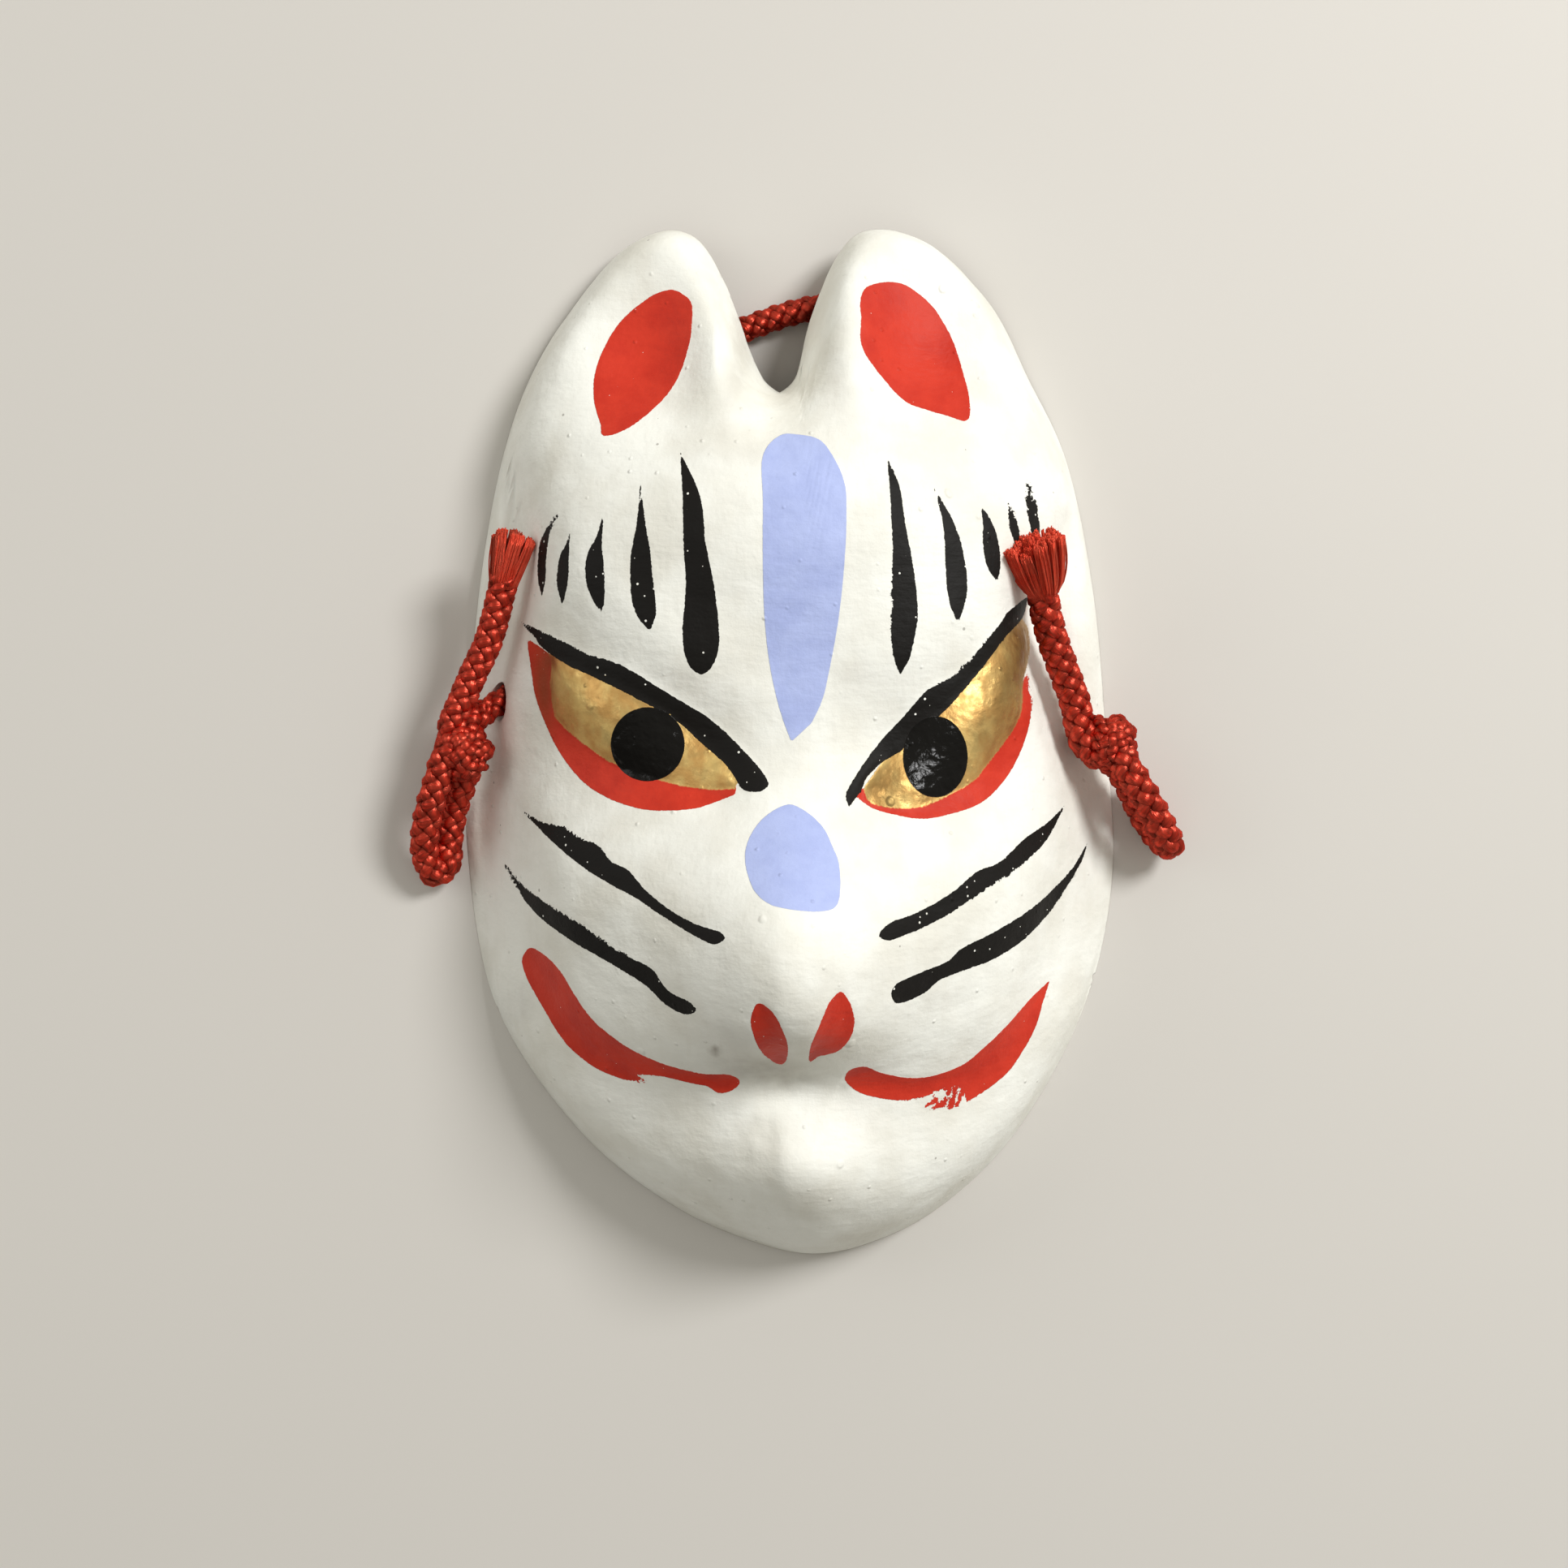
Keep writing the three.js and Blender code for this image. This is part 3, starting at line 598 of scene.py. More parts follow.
# Dents and swellings left in the paper by the maker's hands, in millimetres
PAPER_MARKS = (
    Mark((950, 1400), (9, 30), -0.16, 8.0),
    Mark((966, 1440), (14, 80), 0.3, 8.0),
    Mark((926, 1405), (6, 14), 0.15, 20.0),
    Mark((918, 1432), (7, 9), -0.16, -30.0),
    Mark((905, 1386), (5, 12), -0.14, 14.0),
    Mark((938, 1375), (9, 6), 0.14),
    Mark((1010, 1420), (12, 7), -0.1, 30.0),
    Mark((880, 1350), (16, 6), -0.14, -20.0),
    Mark((860, 1450), (34, 8), -0.12, 40.0),
    Mark((1150, 1440), (40, 9), -0.1, 35.0),
    Mark((1100, 1500), (40, 9), 0.1, 30.0),
    Mark((893, 1083), (5, 5), 0.12),
    Mark((930, 1160), (8, 6), 0.14),
    Mark((896, 1205), (6, 4), 0.1),
    Mark((910, 1250), (16, 5), -0.14, -30.0),
    Mark((773, 800), (1.6, 26), 0.07, -4.0),
    Mark((690, 1130), (30, 20), 0.1),
    Mark((1160, 1250), (50, 14), -0.12, 25.0),
    Mark((1010, 1180), (20, 18), 0.1),
    Mark((1225, 700), (24, 50), -0.12),
    Mark((930, 500), (10, 40), 0.12),
    Mark((870, 560), (18, 12), 0.14),
    Mark((1072, 990), (42, 34), -0.9, 30.0),
    Mark((1215, 880), (40, 34), 0.5, 45.0),
    Mark((884, 984), (34, 26), -0.4, -30.0),
)


def patches_of(paint: Paint) -> tuple[Patch, ...]:
    """Returns all patches of one paint."""
    return tuple(patch for patch in PATCHES if patch.paint is paint)


def marks_at(pixels: np.ndarray, marks: tuple[Mark, ...]) -> np.ndarray:
    """Adds up small marks at places of the photograph.

    Args:
        pixels: The places, one to a row.
        marks: The marks.

    Returns:
        The sum of the marks' strengths at each place.
    """
    total = np.zeros(len(pixels))
    for mark in marks:
        turn = math.radians(mark.turn)
        dx, dy = (pixels - np.array(mark.at)).T
        across = (dx * math.cos(turn) - dy * math.sin(turn)) / mark.reach[0]
        up = (dx * math.sin(turn) + dy * math.cos(turn)) / mark.reach[1]
        total += mark.strength * np.exp(-(across**2) - up**2)
    return total


@dataclass(frozen=True)
class GofunPaint:
    """Gofun, a matt white ground of crushed shell and glue, brushed on paper and painted by hand.

    To the eye it is a chalky white with faint brush marks, pimples, specks and a soft sheen.
    The colours are flat poster paints with hard edges, the black is satin with white pinholes,
    and the gold is mica powder in glue, mottled and metallic. Sizes are in millimetres.
    """

    white: str = "#F4F4ED"
    shaded_white: str = "#E6E4DA"
    streak: str = "#D8D2C6"
    speck: str = "#6F675E"
    # Grey of the painted shade in the hollows and of the grime
    shade_and_grime: str = "#8E847A"
    blue: str = "#B2BEEA"
    deep_blue: str = "#A9B5E3"
    red: str = "#CF3824"
    deep_red: str = "#C22F1E"
    gold: str = "#D2A766"
    pale_gold: str = "#E2C37E"
    dark_gold: str = "#A98249"
    # Red-brown of the painted red reflection on the gold's ends and of the gold blended into the red
    red_reflection_and_blend: str = "#8C3E20"
    # Dark olive of the painted shade on the gold
    gold_shade: str = "#7A5E34"
    black: str = "#0F0C09"
    pupil: str = "#0B0907"
    edge_shift: float = 0.06
    dry_wander: float = 2.6
    red_wander: float = 0.22
    black_wander: float = 0.32
    pinhole_cell: float = 1.15
    speck_cell: float = 5.2
    pimple_cell: float = 3.4
    cloud: float = 13.0
    streak_width: float = 0.9
    wash: float = 5.0
    mottle: float = 3.0
    stroke_width: float = 2.1
    stroke_turns: Point = (-0.25, 0.65)
    metal_share: float = 0.86
    red_roughness: float = 0.52
    black_roughness: float = 0.6
    pupil_roughness: float = 0.14
    film_height: float = 0.45
    pupil_lumps: float = 2.6
    beaten_gold: float = 1.9
    stroke_height: float = 2.0
    relief_strength: float = 0.75
    relief_depth: float = 0.14

    def masks(self, tree: Tree, where: Socket) -> dict[Paint, Socket]:
        """Masks each paint by its outline, with ragged edges, dry strokes and pinholes.

        Args:
            tree: The material's node tree.
            where: Places on the mask.

        Returns:
            How much of each paint shows.
        """
        fine = maths(tree, "SUBTRACT", noise_at(tree, where, 0.42, 3.0, 0.6), 0.5)
        coarse = maths(tree, "SUBTRACT", noise_at(tree, where, 1.6), 0.5)
        ragged = maths(tree, "ADD", fine, times(tree, coarse, 0.6))
        ragged = maths(tree, "SUBTRACT", ragged, self.edge_shift)
        dryness = times(tree, stored(tree, "dry_brush"), self.dry_wander)
        edges = {
            Paint.BLUE: (0.12, 0.04),
            Paint.RED: (maths(tree, "ADD", dryness, self.red_wander), 0.04),
            Paint.GOLD: (0.45, 0.12),
            Paint.BLACK: (maths(tree, "ADD", dryness, self.black_wander), 0.03),
            Paint.PUPIL: (0.12, 0.04),
        }
        shown = {}
        for paint, (wander, soft) in edges.items():
            depth = maths(tree, "ADD", stored(tree, paint.value), times(tree, ragged, wander))
            shown[paint] = range_of(tree, depth, -soft, soft)
        cell = cells_at(tree, where, self.pinhole_cell, "Red")
        tiny = times(tree, dots(tree, *cell, 0.55, 0.075), 0.7)
        holes = {Paint.BLACK: dots(tree, *cell, 0.35, 0.15), Paint.RED: tiny}
        for paint, hole in holes.items():
            shown[paint] = times(tree, shown[paint], outside_of(tree, hole))
        return shown

    def ground(self, tree: Tree, where: Socket, clouds: Socket, streaks: Socket) -> Socket:
        """Colours the white, with its clouds, brush streaks, specks, and painted shade in the hollows mixed
        with grime.

        Args:
            tree: The material's node tree.
            where: Places on the mask.
            clouds: Wide soft clouds over the white.
            streaks: Fine streaks left by the brush.

        Returns:
            The colour.
        """
        colour = mix_colour(tree, clouds, self.white, self.shaded_white)
        streaked = times(tree, range_of(tree, streaks, 0.45, 0.75), 0.1)
        colour = mix_colour(tree, streaked, colour, self.streak)
        specks = dots(tree, *cells_at(tree, where, self.speck_cell, "Green"), 0.4, 0.045)
        colour = mix_colour(tree, times(tree, specks, 0.55), colour, self.speck)
        uneven = range_of(tree, noise_at(tree, where, 3.0, 4.0), 0.2, 0.8, 0.5, 1.1)
        # Painted shade in the hollows, with some grime, greys the white
        return mix_colour(tree, times(tree, stored(tree, "shade_and_grime"), uneven), colour, self.shade_and_grime)

    def pigments(self, tree: Tree, where: Socket) -> dict[Paint, Socket | str]:
        """Mixes the colour of each paint.

        Args:
            tree: The material's node tree.
            where: Places on the mask.

        Returns:
            The colours, in the order in which the paints lie on each other.
        """
        washed = range_of(tree, noise_at(tree, where, self.wash, 3.0, 0.6), 0.35, 0.7)
        blues = mix_colour(tree, washed, self.blue, self.deep_blue)
        reds = mix_colour(tree, washed, self.red, self.deep_red)
        stroked = stretch(tree, where, 0.5, (1.0, 0.7, 0.8))
        mottled = range_of(tree, noise_at(tree, stroked, self.mottle, 3.0, 0.55), 0.38, 0.68)
        golds = mix_colour(tree, mottled, self.gold, self.pale_gold)
        smudge = range_of(tree, noise_at(tree, stroked, self.wash), 0.5, 0.75)
        golds = mix_colour(tree, times(tree, smudge, 0.32), golds, self.dark_gold)
        # A painted reflection of red browns the ends of the gold, and the gold's blend into the red browns
        # the red beside it
        red_reflection_and_blend = times(tree, stored(tree, "red_reflection_and_blend"), 0.9)
        golds = mix_colour(tree, red_reflection_and_blend, golds, self.red_reflection_and_blend)
        # Painted shade darkens the gold where it turns away from the light
        golds = mix_colour(tree, times(tree, stored(tree, "gold_shade"), 0.9), golds, self.gold_shade)
        reds = mix_colour(tree, red_reflection_and_blend, reds, self.red_reflection_and_blend)
        return {
            Paint.BLUE: blues,
            Paint.RED: reds,
            Paint.GOLD: golds,
            Paint.BLACK: self.black,
            Paint.PUPIL: self.pupil,
        }

    def roughness(self, tree: Tree, where: Socket, shown: dict[Paint, Socket], metal: Socket) -> Socket:
        """Makes the white matt, the red flat, the gold mottled, the black satin and the pupils glossy.

        Args:
            tree: The material's node tree.
            where: Places on the mask.
            shown: How much of each paint shows.
            metal: How much bare gold shows.

        Returns:
            The roughness.
        """
        white = range_of(tree, noise_at(tree, where, 2.0, 3.0), 0.3, 0.7, 0.5, 0.62)
        flakes = range_of(tree, noise_at(tree, where, 1.6), 0.34, 0.66, 0.62, 0.4)
        rough = mix_value(tree, shown[Paint.RED], white, self.red_roughness)
        rough = mix_value(tree, metal, rough, flakes)
        rough = mix_value(tree, shown[Paint.BLACK], rough, self.black_roughness)
        return mix_value(tree, shown[Paint.PUPIL], rough, self.pupil_roughness)

    def relief(
        self,
        tree: Tree,
        where: Socket,
        shown: dict[Paint, Socket],
        metal: Socket,
        clouds: Socket,
        streaks: Socket,
    ) -> Socket:
        """Adds up the brush marks, pimples, paint films, lumpy pupils and beaten gold.

        Args:
            tree: The material's node tree.
            where: Places on the mask.
            shown: How much of each paint shows.
            metal: How much bare gold shows.
            clouds: Wide soft clouds over the white.
            streaks: Fine streaks left by the brush.

        Returns:
            The height, as a share of the relief's depth.
        """
        pupil = shown[Paint.PUPIL]
        spaced = {"Vector": where, "Scale": per_mm(self.pimple_cell)}
        pimples = add_node(tree, "TexVoronoi", {"feature": "SMOOTH_F1"}, spaced)
        covered = maths(tree, "MAXIMUM", shown[Paint.BLACK], pupil)
        coloured = maths(tree, "MAXIMUM", shown[Paint.RED], shown[Paint.BLUE])
        film = maths(tree, "MAXIMUM", coloured, maths(tree, "MAXIMUM", metal, covered))
        strokes = [
            noise_at(tree, stretch(tree, where, turn, (0.28, 1.0, 0.6)), self.stroke_width, 3.0, 0.55)
            for turn in self.stroke_turns
        ]
        brushed = times(tree, mix_value(tree, clouds, *strokes), self.stroke_height)
        height = noise_at(tree, where, 1.1, 5.0, 0.6)
        for part in (
            times(tree, streaks, 0.25),
            range_of(tree, pimples.outputs["Distance"], 0.0, 0.12, 1.5, 0.0),
            times(tree, film, self.film_height),
            times(tree, pupil, times(tree, noise_at(tree, where, 1.5, 1.5), self.pupil_lumps)),
            times(tree, metal, times(tree, noise_at(tree, where, 2.6), self.beaten_gold)),
            times(tree, brushed, outside_of(tree, maths(tree, "MAXIMUM", pupil, metal))),
        ):
            height = maths(tree, "ADD", height, part)
        return height

    def build(self) -> bpy.types.Material:
        """Builds the material.

        Returns:
            The material.
        """
        material, tree, shader = start_material("Gofun white and painted papier-mâché")
        where = add_node(tree, "TexCoord").outputs["Object"]
        clouds = range_of(tree, noise_at(tree, where, self.cloud, 3.0, 0.55), 0.35, 0.7)
        streaks = noise_at(tree, stretch(tree, where, 0.35, (1.0, 0.12, 0.4)), self.streak_width, 4.0, 0.6)
        shown = self.masks(tree, where)
        colour = self.ground(tree, where, clouds, streaks)
        for paint, pigment in self.pigments(tree, where).items():
            colour = mix_colour(tree, shown[paint], colour, pigment)
        covered = maths(tree, "MAXIMUM", shown[Paint.BLACK], shown[Paint.PUPIL])
        metal = times(tree, shown[Paint.GOLD], outside_of(tree, covered))
        height = self.relief(tree, where, shown, metal, clouds, streaks)
        depths = {"Strength": self.relief_strength, "Distance": self.relief_depth * MM, "Height": height}
        set_inputs(tree, shader, {
            "Base Color": colour,
            "Roughness": self.roughness(tree, where, shown, metal),
            "Metallic": times(tree, metal, self.metal_share),
            "Normal": add_node(tree, "Bump", {}, depths).outputs[0],
            "IOR": 1.5,
            "Specular IOR Level": 0.2,
        })
        return material


@dataclass(frozen=True)
class RawPaper:
    """Bare handmade paper, pasted in torn sheets inside the shell: matt, buff and fibrous."""

    buff: str = "#CDBFA6"
    grey: str = "#B5A78F"
    fibre: str = "#E3D8C3"
    sheet: float = 9.0
    fibre_width: float = 0.45

    def build(self) -> bpy.types.Material:
        """Builds the material.

        Returns:
            The material.
        """
        material, tree, shader = start_material("Bare washi paper inside the shell")
        where = add_node(tree, "TexCoord").outputs["Object"]
        sheets = range_of(tree, noise_at(tree, where, self.sheet, 4.0, 0.6), 0.42, 0.58)
        colour = mix_colour(tree, sheets, self.buff, self.grey)
        fibres = noise_at(tree, stretch(tree, where, 0.6, (1.0, 0.2, 1.0)), self.fibre_width, 4.0, 0.65)
        colour = mix_colour(tree, range_of(tree, fibres, 0.55, 0.7, 0.0, 0.6), colour, self.fibre)
        height = maths(tree, "ADD", fibres, times(tree, sheets, 0.6))
        depths = {"Strength": 0.7, "Distance": 0.2 * MM, "Height": height}
        set_inputs(tree, shader, {
            "Base Color": colour,
            "Normal": add_node(tree, "Bump", {}, depths).outputs[0],
            "Roughness": 0.88,
            "IOR": 1.47,
        })
        return material


@dataclass(frozen=True)
class BraidedRayon:
    """Rayon yarn, laid parallel in each strand: silky, with soft highlights along the filaments.

    Real filaments are 0.02 mm thick. They are drawn about 0.3 mm wide round a strand, with finer
    lines between, so that they show.
    """

    red: str = "#D82416"
    deep_red: str = "#880F07"
    bright_red: str = "#FC4E38"
    # Colour of the painted shade where strands dip under others and along their sides
    gap: str = "#220201"
    gleam: str = "#FF9478"
    sheen: float = 0.1
    filaments: float = 16.0
    twist: float = 0.12
    run: float = 0.8
    relief_strength: float = 0.9
    relief_depth: float = 0.13

    def build(self, name: str = "Red braided rayon cord") -> bpy.types.Material:
        """Builds the material.

        Args:
            name: The material's name.

        Returns:
            The material.
        """
        material, tree, shader = start_material(name)
        along = add_node(tree, "UVMap", {"uv_map": "UVMap"}).outputs[0]
        parts = add_node(tree, "SeparateXYZ", {}, {"Vector": along}).outputs
        twisted = maths(tree, "ADD", parts[0], times(tree, parts[1], self.twist))
        round_and_along = {0: times(tree, twisted, self.filaments), 1: times(tree, parts[1], self.run)}
        thread = add_node(tree, "CombineXYZ", {}, round_and_along).outputs[0]
        pattern = {"Vector": thread, "Scale": 1.0, "Detail": 3.0, "Roughness": 0.6}
        filament = add_node(tree, "TexNoise", {}, pattern).outputs["Fac"]
        where = add_node(tree, "TexCoord").outputs["Object"]
        patchy = range_of(tree, noise_at(tree, where, 2.4), 0.35, 0.7)
        colour = mix_colour(tree, range_of(tree, filament, 0.35, 0.7), self.deep_red, self.red)
        colour = mix_colour(tree, times(tree, patchy, 0.35), colour, self.bright_red)
        # Painted shade: the colour darkens towards the gap colour by the tuck attribute, where strands dip
        # under others, along their sides and in the darker clumps of a tuft
        painted_gap_shade = times(tree, maths(tree, "POWER", stored(tree, "tuck"), 0.7), 0.97)
        depths = {"Strength": self.relief_strength, "Distance": self.relief_depth * MM, "Height": filament}
        across = add_node(tree, "Tangent", {"direction_type": "UV_MAP", "uv_map": "UVMap"})
        set_inputs(tree, shader, {
            "Base Color": mix_colour(tree, painted_gap_shade, colour, self.gap),
            "Roughness": range_of(tree, filament, 0.3, 0.7, 0.4, 0.27),
            "Normal": add_node(tree, "Bump", {}, depths).outputs[0],
            "IOR": 2.3,
            "Metallic": 0.6,
            "Anisotropic": 0.8,
            "Tangent": across.outputs[0],
            "Specular IOR Level": 1.0,
            "Specular Tint": to_linear(self.gleam),
            "Sheen Weight": self.sheen,
            "Sheen Roughness": 0.4,
            "Sheen Tint": to_linear(self.gleam),
        })
        return material


@dataclass(frozen=True)
class PaleFloor:
    """A plain matt studio table in a pale warm grey."""

    colour: str = "#D2CEC8"

    def build(self) -> bpy.types.Material:
        """Builds the material.

        Returns:
            The material.
        """
        material, _, shader = start_material("Pale matt table")
        shader.inputs["Base Color"].default_value = to_linear(self.colour)
        shader.inputs["Roughness"].default_value = 0.8
        return material


@dataclass
class Studio:
    """The camera over the lying mask, its soft light and the table."""

    lens: float = 51.24
    sensor: float = 36.0
    key_place: Place = (0.45, 0.33, 0.59)
    key_size: float = 0.26
    key_power: float = 4.95
    fill: str = "#F3F1E7"
    card_place: Place = (-0.5, 0.14, 0.3)
    card_size: float = 0.36
    card_power: float = 0.5
    fill_from: Place = (0.42, 0.72, 0.55)
    fill_range: Point = (0.19, 0.64)
    table_size: float = 3.0
    table_drop: float = 0.02 * MM

    def place_camera(self) -> None:
        """Puts the camera where the photograph was taken from, straight above the mask."""
        camera = bpy.data.cameras.new("photo_camera")
        camera.lens = self.lens
        camera.sensor_width = self.sensor
        camera.clip_start = 0.01
        holder = bpy.data.objects.new("photo_camera", camera)
        holder.location = Vector(EYE) * MM
        bpy.context.scene.collection.objects.link(holder)
        bpy.context.scene.camera = holder

    def add_lamp(self, name: str, place: Place, size: float, power: float) -> None:
        """Adds a round soft lamp that faces the mask.

        Args:
            name: The lamp's name.
            place: Where it stands, in metres.
            size: How wide it is, in metres.
            power: Its power, in watts.
        """
        lamp = bpy.data.lights.new(name, "AREA")
        lamp.shape = "DISK"
        lamp.size = size
        lamp.energy = power
        holder = bpy.data.objects.new(name, lamp)
        holder.location = place
        holder.rotation_euler = (-Vector(place)).to_track_quat("-Z", "Y").to_euler()
        bpy.context.scene.collection.objects.link(holder)

    def light(self) -> None:
        """Adds a key light at the upper right, a weak one at the left and an uneven surround."""
        self.add_lamp("key_light", self.key_place, self.key_size, self.key_power)
        self.add_lamp("side_card", self.card_place, self.card_size, self.card_power)
        world = bpy.data.worlds.new("studio")
        bpy.context.scene.world = world
        world.use_nodes = True
        tree = world.node_tree
        surround = tree.nodes["Background"]
        surround.inputs["Color"].default_value = to_linear(self.fill)
        outward = add_node(tree, "TexCoord").outputs["Generated"]
        directions = {0: outward, 1: Vector(self.fill_from).normalized()}
        share = add_node(tree, "VectorMath", {"operation": "DOT_PRODUCT"}, directions).outputs["Value"]
        tree.links.new(range_of(tree, share, -0.8, 1.0, *self.fill_range), surround.inputs["Strength"])
        bpy.context.scene.view_settings.view_transform = "Standard"

    def lay_floor(self) -> None:
        """Lays the table under the mask."""
        bpy.ops.object.select_all(action="DESELECT")
        bpy.ops.mesh.primitive_plane_add(size=self.table_size, location=(0, 0, 0))
        floor = bpy.context.object
        floor.name = "table"
        floor.data.transform(Matrix.Translation((0, 0, -self.table_drop)))
        floor.data.materials.append(PaleFloor().build())


@dataclass
class MaskShell:
    """The papier-mâché shell, smoothed from its CAD node and finished by hand."""

    node: str = "mask_shell"
    rim_crease: float = 0.72
    rim_angle: float = 50.0
    sky_start: float = 0.45
    levels: int = 2
    fine_band: float = 0.55
    lump: float = 0.17
    lump_size: float = 7.0
    ripple: float = 0.075
    ripple_size: float = 2.6
    inside_unevenness: float = 1.3
    lid_ridge: float = 0.22
    nostril_dent: float = 0.4
    mouth_groove: float = 0.22
    eye_dome: float = 1.25
    eye_reach: float = 5.0

    def copy_node(self) -> bpy.types.Object:
        """Copies the CAD node, joins its loose triangles and turns them into quads.

        Returns:
            The copy.
        """
        piece = frame["nodes"][self.node].copy()
        piece.data = piece.data.copy()
        piece.name = "painted_mask"
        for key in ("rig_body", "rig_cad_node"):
            del piece[key]
        piece.parent = None
        bpy.context.scene.collection.objects.link(piece)
        bpy.ops.object.select_all(action="DESELECT")
        piece.select_set(True)
        bpy.context.view_layer.objects.active = piece
        bpy.ops.object.mode_set(mode="EDIT")
        bpy.ops.mesh.select_all(action="SELECT")
        bpy.ops.mesh.remove_doubles(threshold=0.01 * MM)
        bpy.ops.mesh.tris_convert_to_quads(face_threshold=math.radians(40), shape_threshold=math.radians(60))
        bpy.ops.object.mode_set(mode="OBJECT")
        return piece

    def sort_faces(self, piece: bpy.types.Object) -> None:
        """Gives the painted material to faces open to the sky, and bare paper to those under the shell.

        Args:
            piece: The shell's piece.
        """
        mesh = piece.data
        tree = BVHTree.FromPolygons([v.co for v in mesh.vertices], [p.vertices for p in mesh.polygons])
        mesh.materials.clear()
        mesh.materials.append(GofunPaint().build())
        mesh.materials.append(RawPaper().build())
        for face in mesh.polygons:
            start = face.center + face.normal * self.sky_start * MM
            hit = tree.ray_cast(start, Vector((0, 0, 1)))[0]
            face.material_index = 1 if hit is not None else 0

    def crease_rim(self, piece: bpy.types.Object) -> None:
        """Keeps the rim and the cord holes crisp through the smoothing.

        Args:
            piece: The shell's piece.
        """
        mesh = piece.data
        normals = {}
        for face in mesh.polygons:
            for key in face.edge_keys:
                normals.setdefault(key, []).append(face.normal)
        crease = mesh.attributes.new("crease_edge", "FLOAT", "EDGE")
        limit = math.cos(math.radians(self.rim_angle))
        for edge in mesh.edges:
            sides = normals.get(edge.key, [])
            if len(sides) == 2 and sides[0].dot(sides[1]) < limit:
                crease.data[edge.index].value = self.rim_crease

    def smooth(self, piece: bpy.types.Object) -> None:
        """Rounds the facets with an applied Subdivision Surface.

        Args:
            piece: The shell's piece.
        """
        rounding = piece.modifiers.new("rounding", "SUBSURF")
        rounding.levels = self.levels
        rounding.render_levels = self.levels
        bpy.ops.object.modifier_apply(modifier=rounding.name)

    def seen_pixels(self, mesh: bpy.types.Mesh) -> tuple[np.ndarray, np.ndarray]:
        """Works out where each point is seen in the photograph.

        Args:
            mesh: The shell's mesh.

        Returns:
            The points in millimetres, and their pixels.
        """
        points = np.empty(len(mesh.vertices) * 3, np.float32)
        mesh.vertices.foreach_get("co", points)
        points = points.reshape(-1, 3).astype(float) / MM
        nearer = EYE[2] / (EYE[2] - points[:, 2])
        x = EYE[0] + (points[:, 0] - EYE[0]) * nearer
        y = EYE[1] + (points[:, 1] - EYE[1]) * nearer
        pixels = np.stack([PIXEL_ZERO[0] + x / PIXEL, PIXEL_ZERO[1] - y / PIXEL], axis=1)
        return points, pixels

    def paint_depths(self, pixels: np.ndarray, patches: tuple[Patch, ...], reach: float = 3.0) -> np.ndarray:
        """Measures how far inside any of several patches each pixel lies.

        Args:
            pixels: The pixels, one to a row.
            patches: The patches.
            reach: The largest depth, in millimetres.

        Returns:
            The depth at each pixel, in millimetres, negative outside all the patches.
        """
        depth = np.full(len(pixels), -reach)
        for patch in patches:
            outline = patch.outline()
            low, high = outline.min(0) - reach / PIXEL, outline.max(0) + reach / PIXEL
            near = np.all((pixels > low) & (pixels < high), axis=1)
            if near.any():
                depth[near] = np.maximum(depth[near], depth_inside(pixels[near], outline) * PIXEL)
        return np.clip(depth, -reach, reach)

    def refine(self, piece: bpy.types.Object) -> None:
        """Halves the faces along every painted edge, so that the paint's outlines stay crisp.

        Args:
            piece: The shell's piece.
        """
        mesh = piece.data
        _, pixels = self.seen_pixels(mesh)
        edge = np.full(len(pixels), np.inf)
        for paint in Paint:
            depth = self.paint_depths(pixels, patches_of(paint))
            edge = np.minimum(edge, np.abs(depth))
        close = edge < self.fine_band
        mesh.vertices.foreach_set("select", np.zeros(len(mesh.vertices), bool))
        mesh.edges.foreach_set("select", np.zeros(len(mesh.edges), bool))
        for face in mesh.polygons:
            face.select = face.material_index == 0 and any(close[v] for v in face.vertices)
        bpy.context.tool_settings.mesh_select_mode = (False, False, True)
        bpy.ops.object.mode_set(mode="EDIT")
        bpy.ops.mesh.subdivide(number_cuts=1, smoothness=0.0)
        bpy.ops.object.mode_set(mode="OBJECT")

    def shape_relief(self, piece: bpy.types.Object) -> None:
        """Moves the skin in and out by hand-made unevenness, lids, eyes, nostrils and mouth.

        Args:
            piece: The shell's piece.
        """
        mesh = piece.data
        points, pixels = self.seen_pixels(mesh)
        normals = np.empty(len(points) * 3, np.float32)
        mesh.vertices.foreach_get("normal", normals)
        normals = normals.reshape(-1, 3)
        lids = self.paint_depths(pixels, LIDS)
        nostrils = self.paint_depths(pixels, NOSTRILS)
        mouth = self.paint_depths(pixels, MOUTH)
        outside = np.zeros(len(points), bool)
        for face in mesh.polygons:
            if face.material_index == 0:
                outside[list(face.vertices)] = True
        lumps = np.array([noise.noise(Vector(p) / self.lump_size) for p in points])
        apart = Vector((9, 4, 1))
        ripples = np.array([noise.noise(Vector(p) / self.ripple_size + apart) for p in points])
        made = self.lump * lumps + self.ripple * ripples
        eyeballs = self.paint_depths(pixels, patches_of(Paint.GOLD), self.eye_reach)
        inward = np.clip(eyeballs / self.eye_reach, 0, 1)
        carved = self.lid_ridge * ease(lids, -0.5, 0.9)
        carved += self.eye_dome * inward * (2 - inward) * ease(eyeballs, -0.3, 0.8)
        carved -= self.nostril_dent * ease(nostrils, -0.6, 1.6)
        carved -= self.mouth_groove * ease(mouth, -0.8, 1.6)
        carved += marks_at(pixels, PAPER_MARKS)
        lift = np.where(outside, made + carved, self.inside_unevenness * made)
        lift *= ease(points[:, 2], 0.1, 2.0)
        moved = points + normals * lift[:, None]
        moved[:, 2] = np.maximum(moved[:, 2], 0.0)
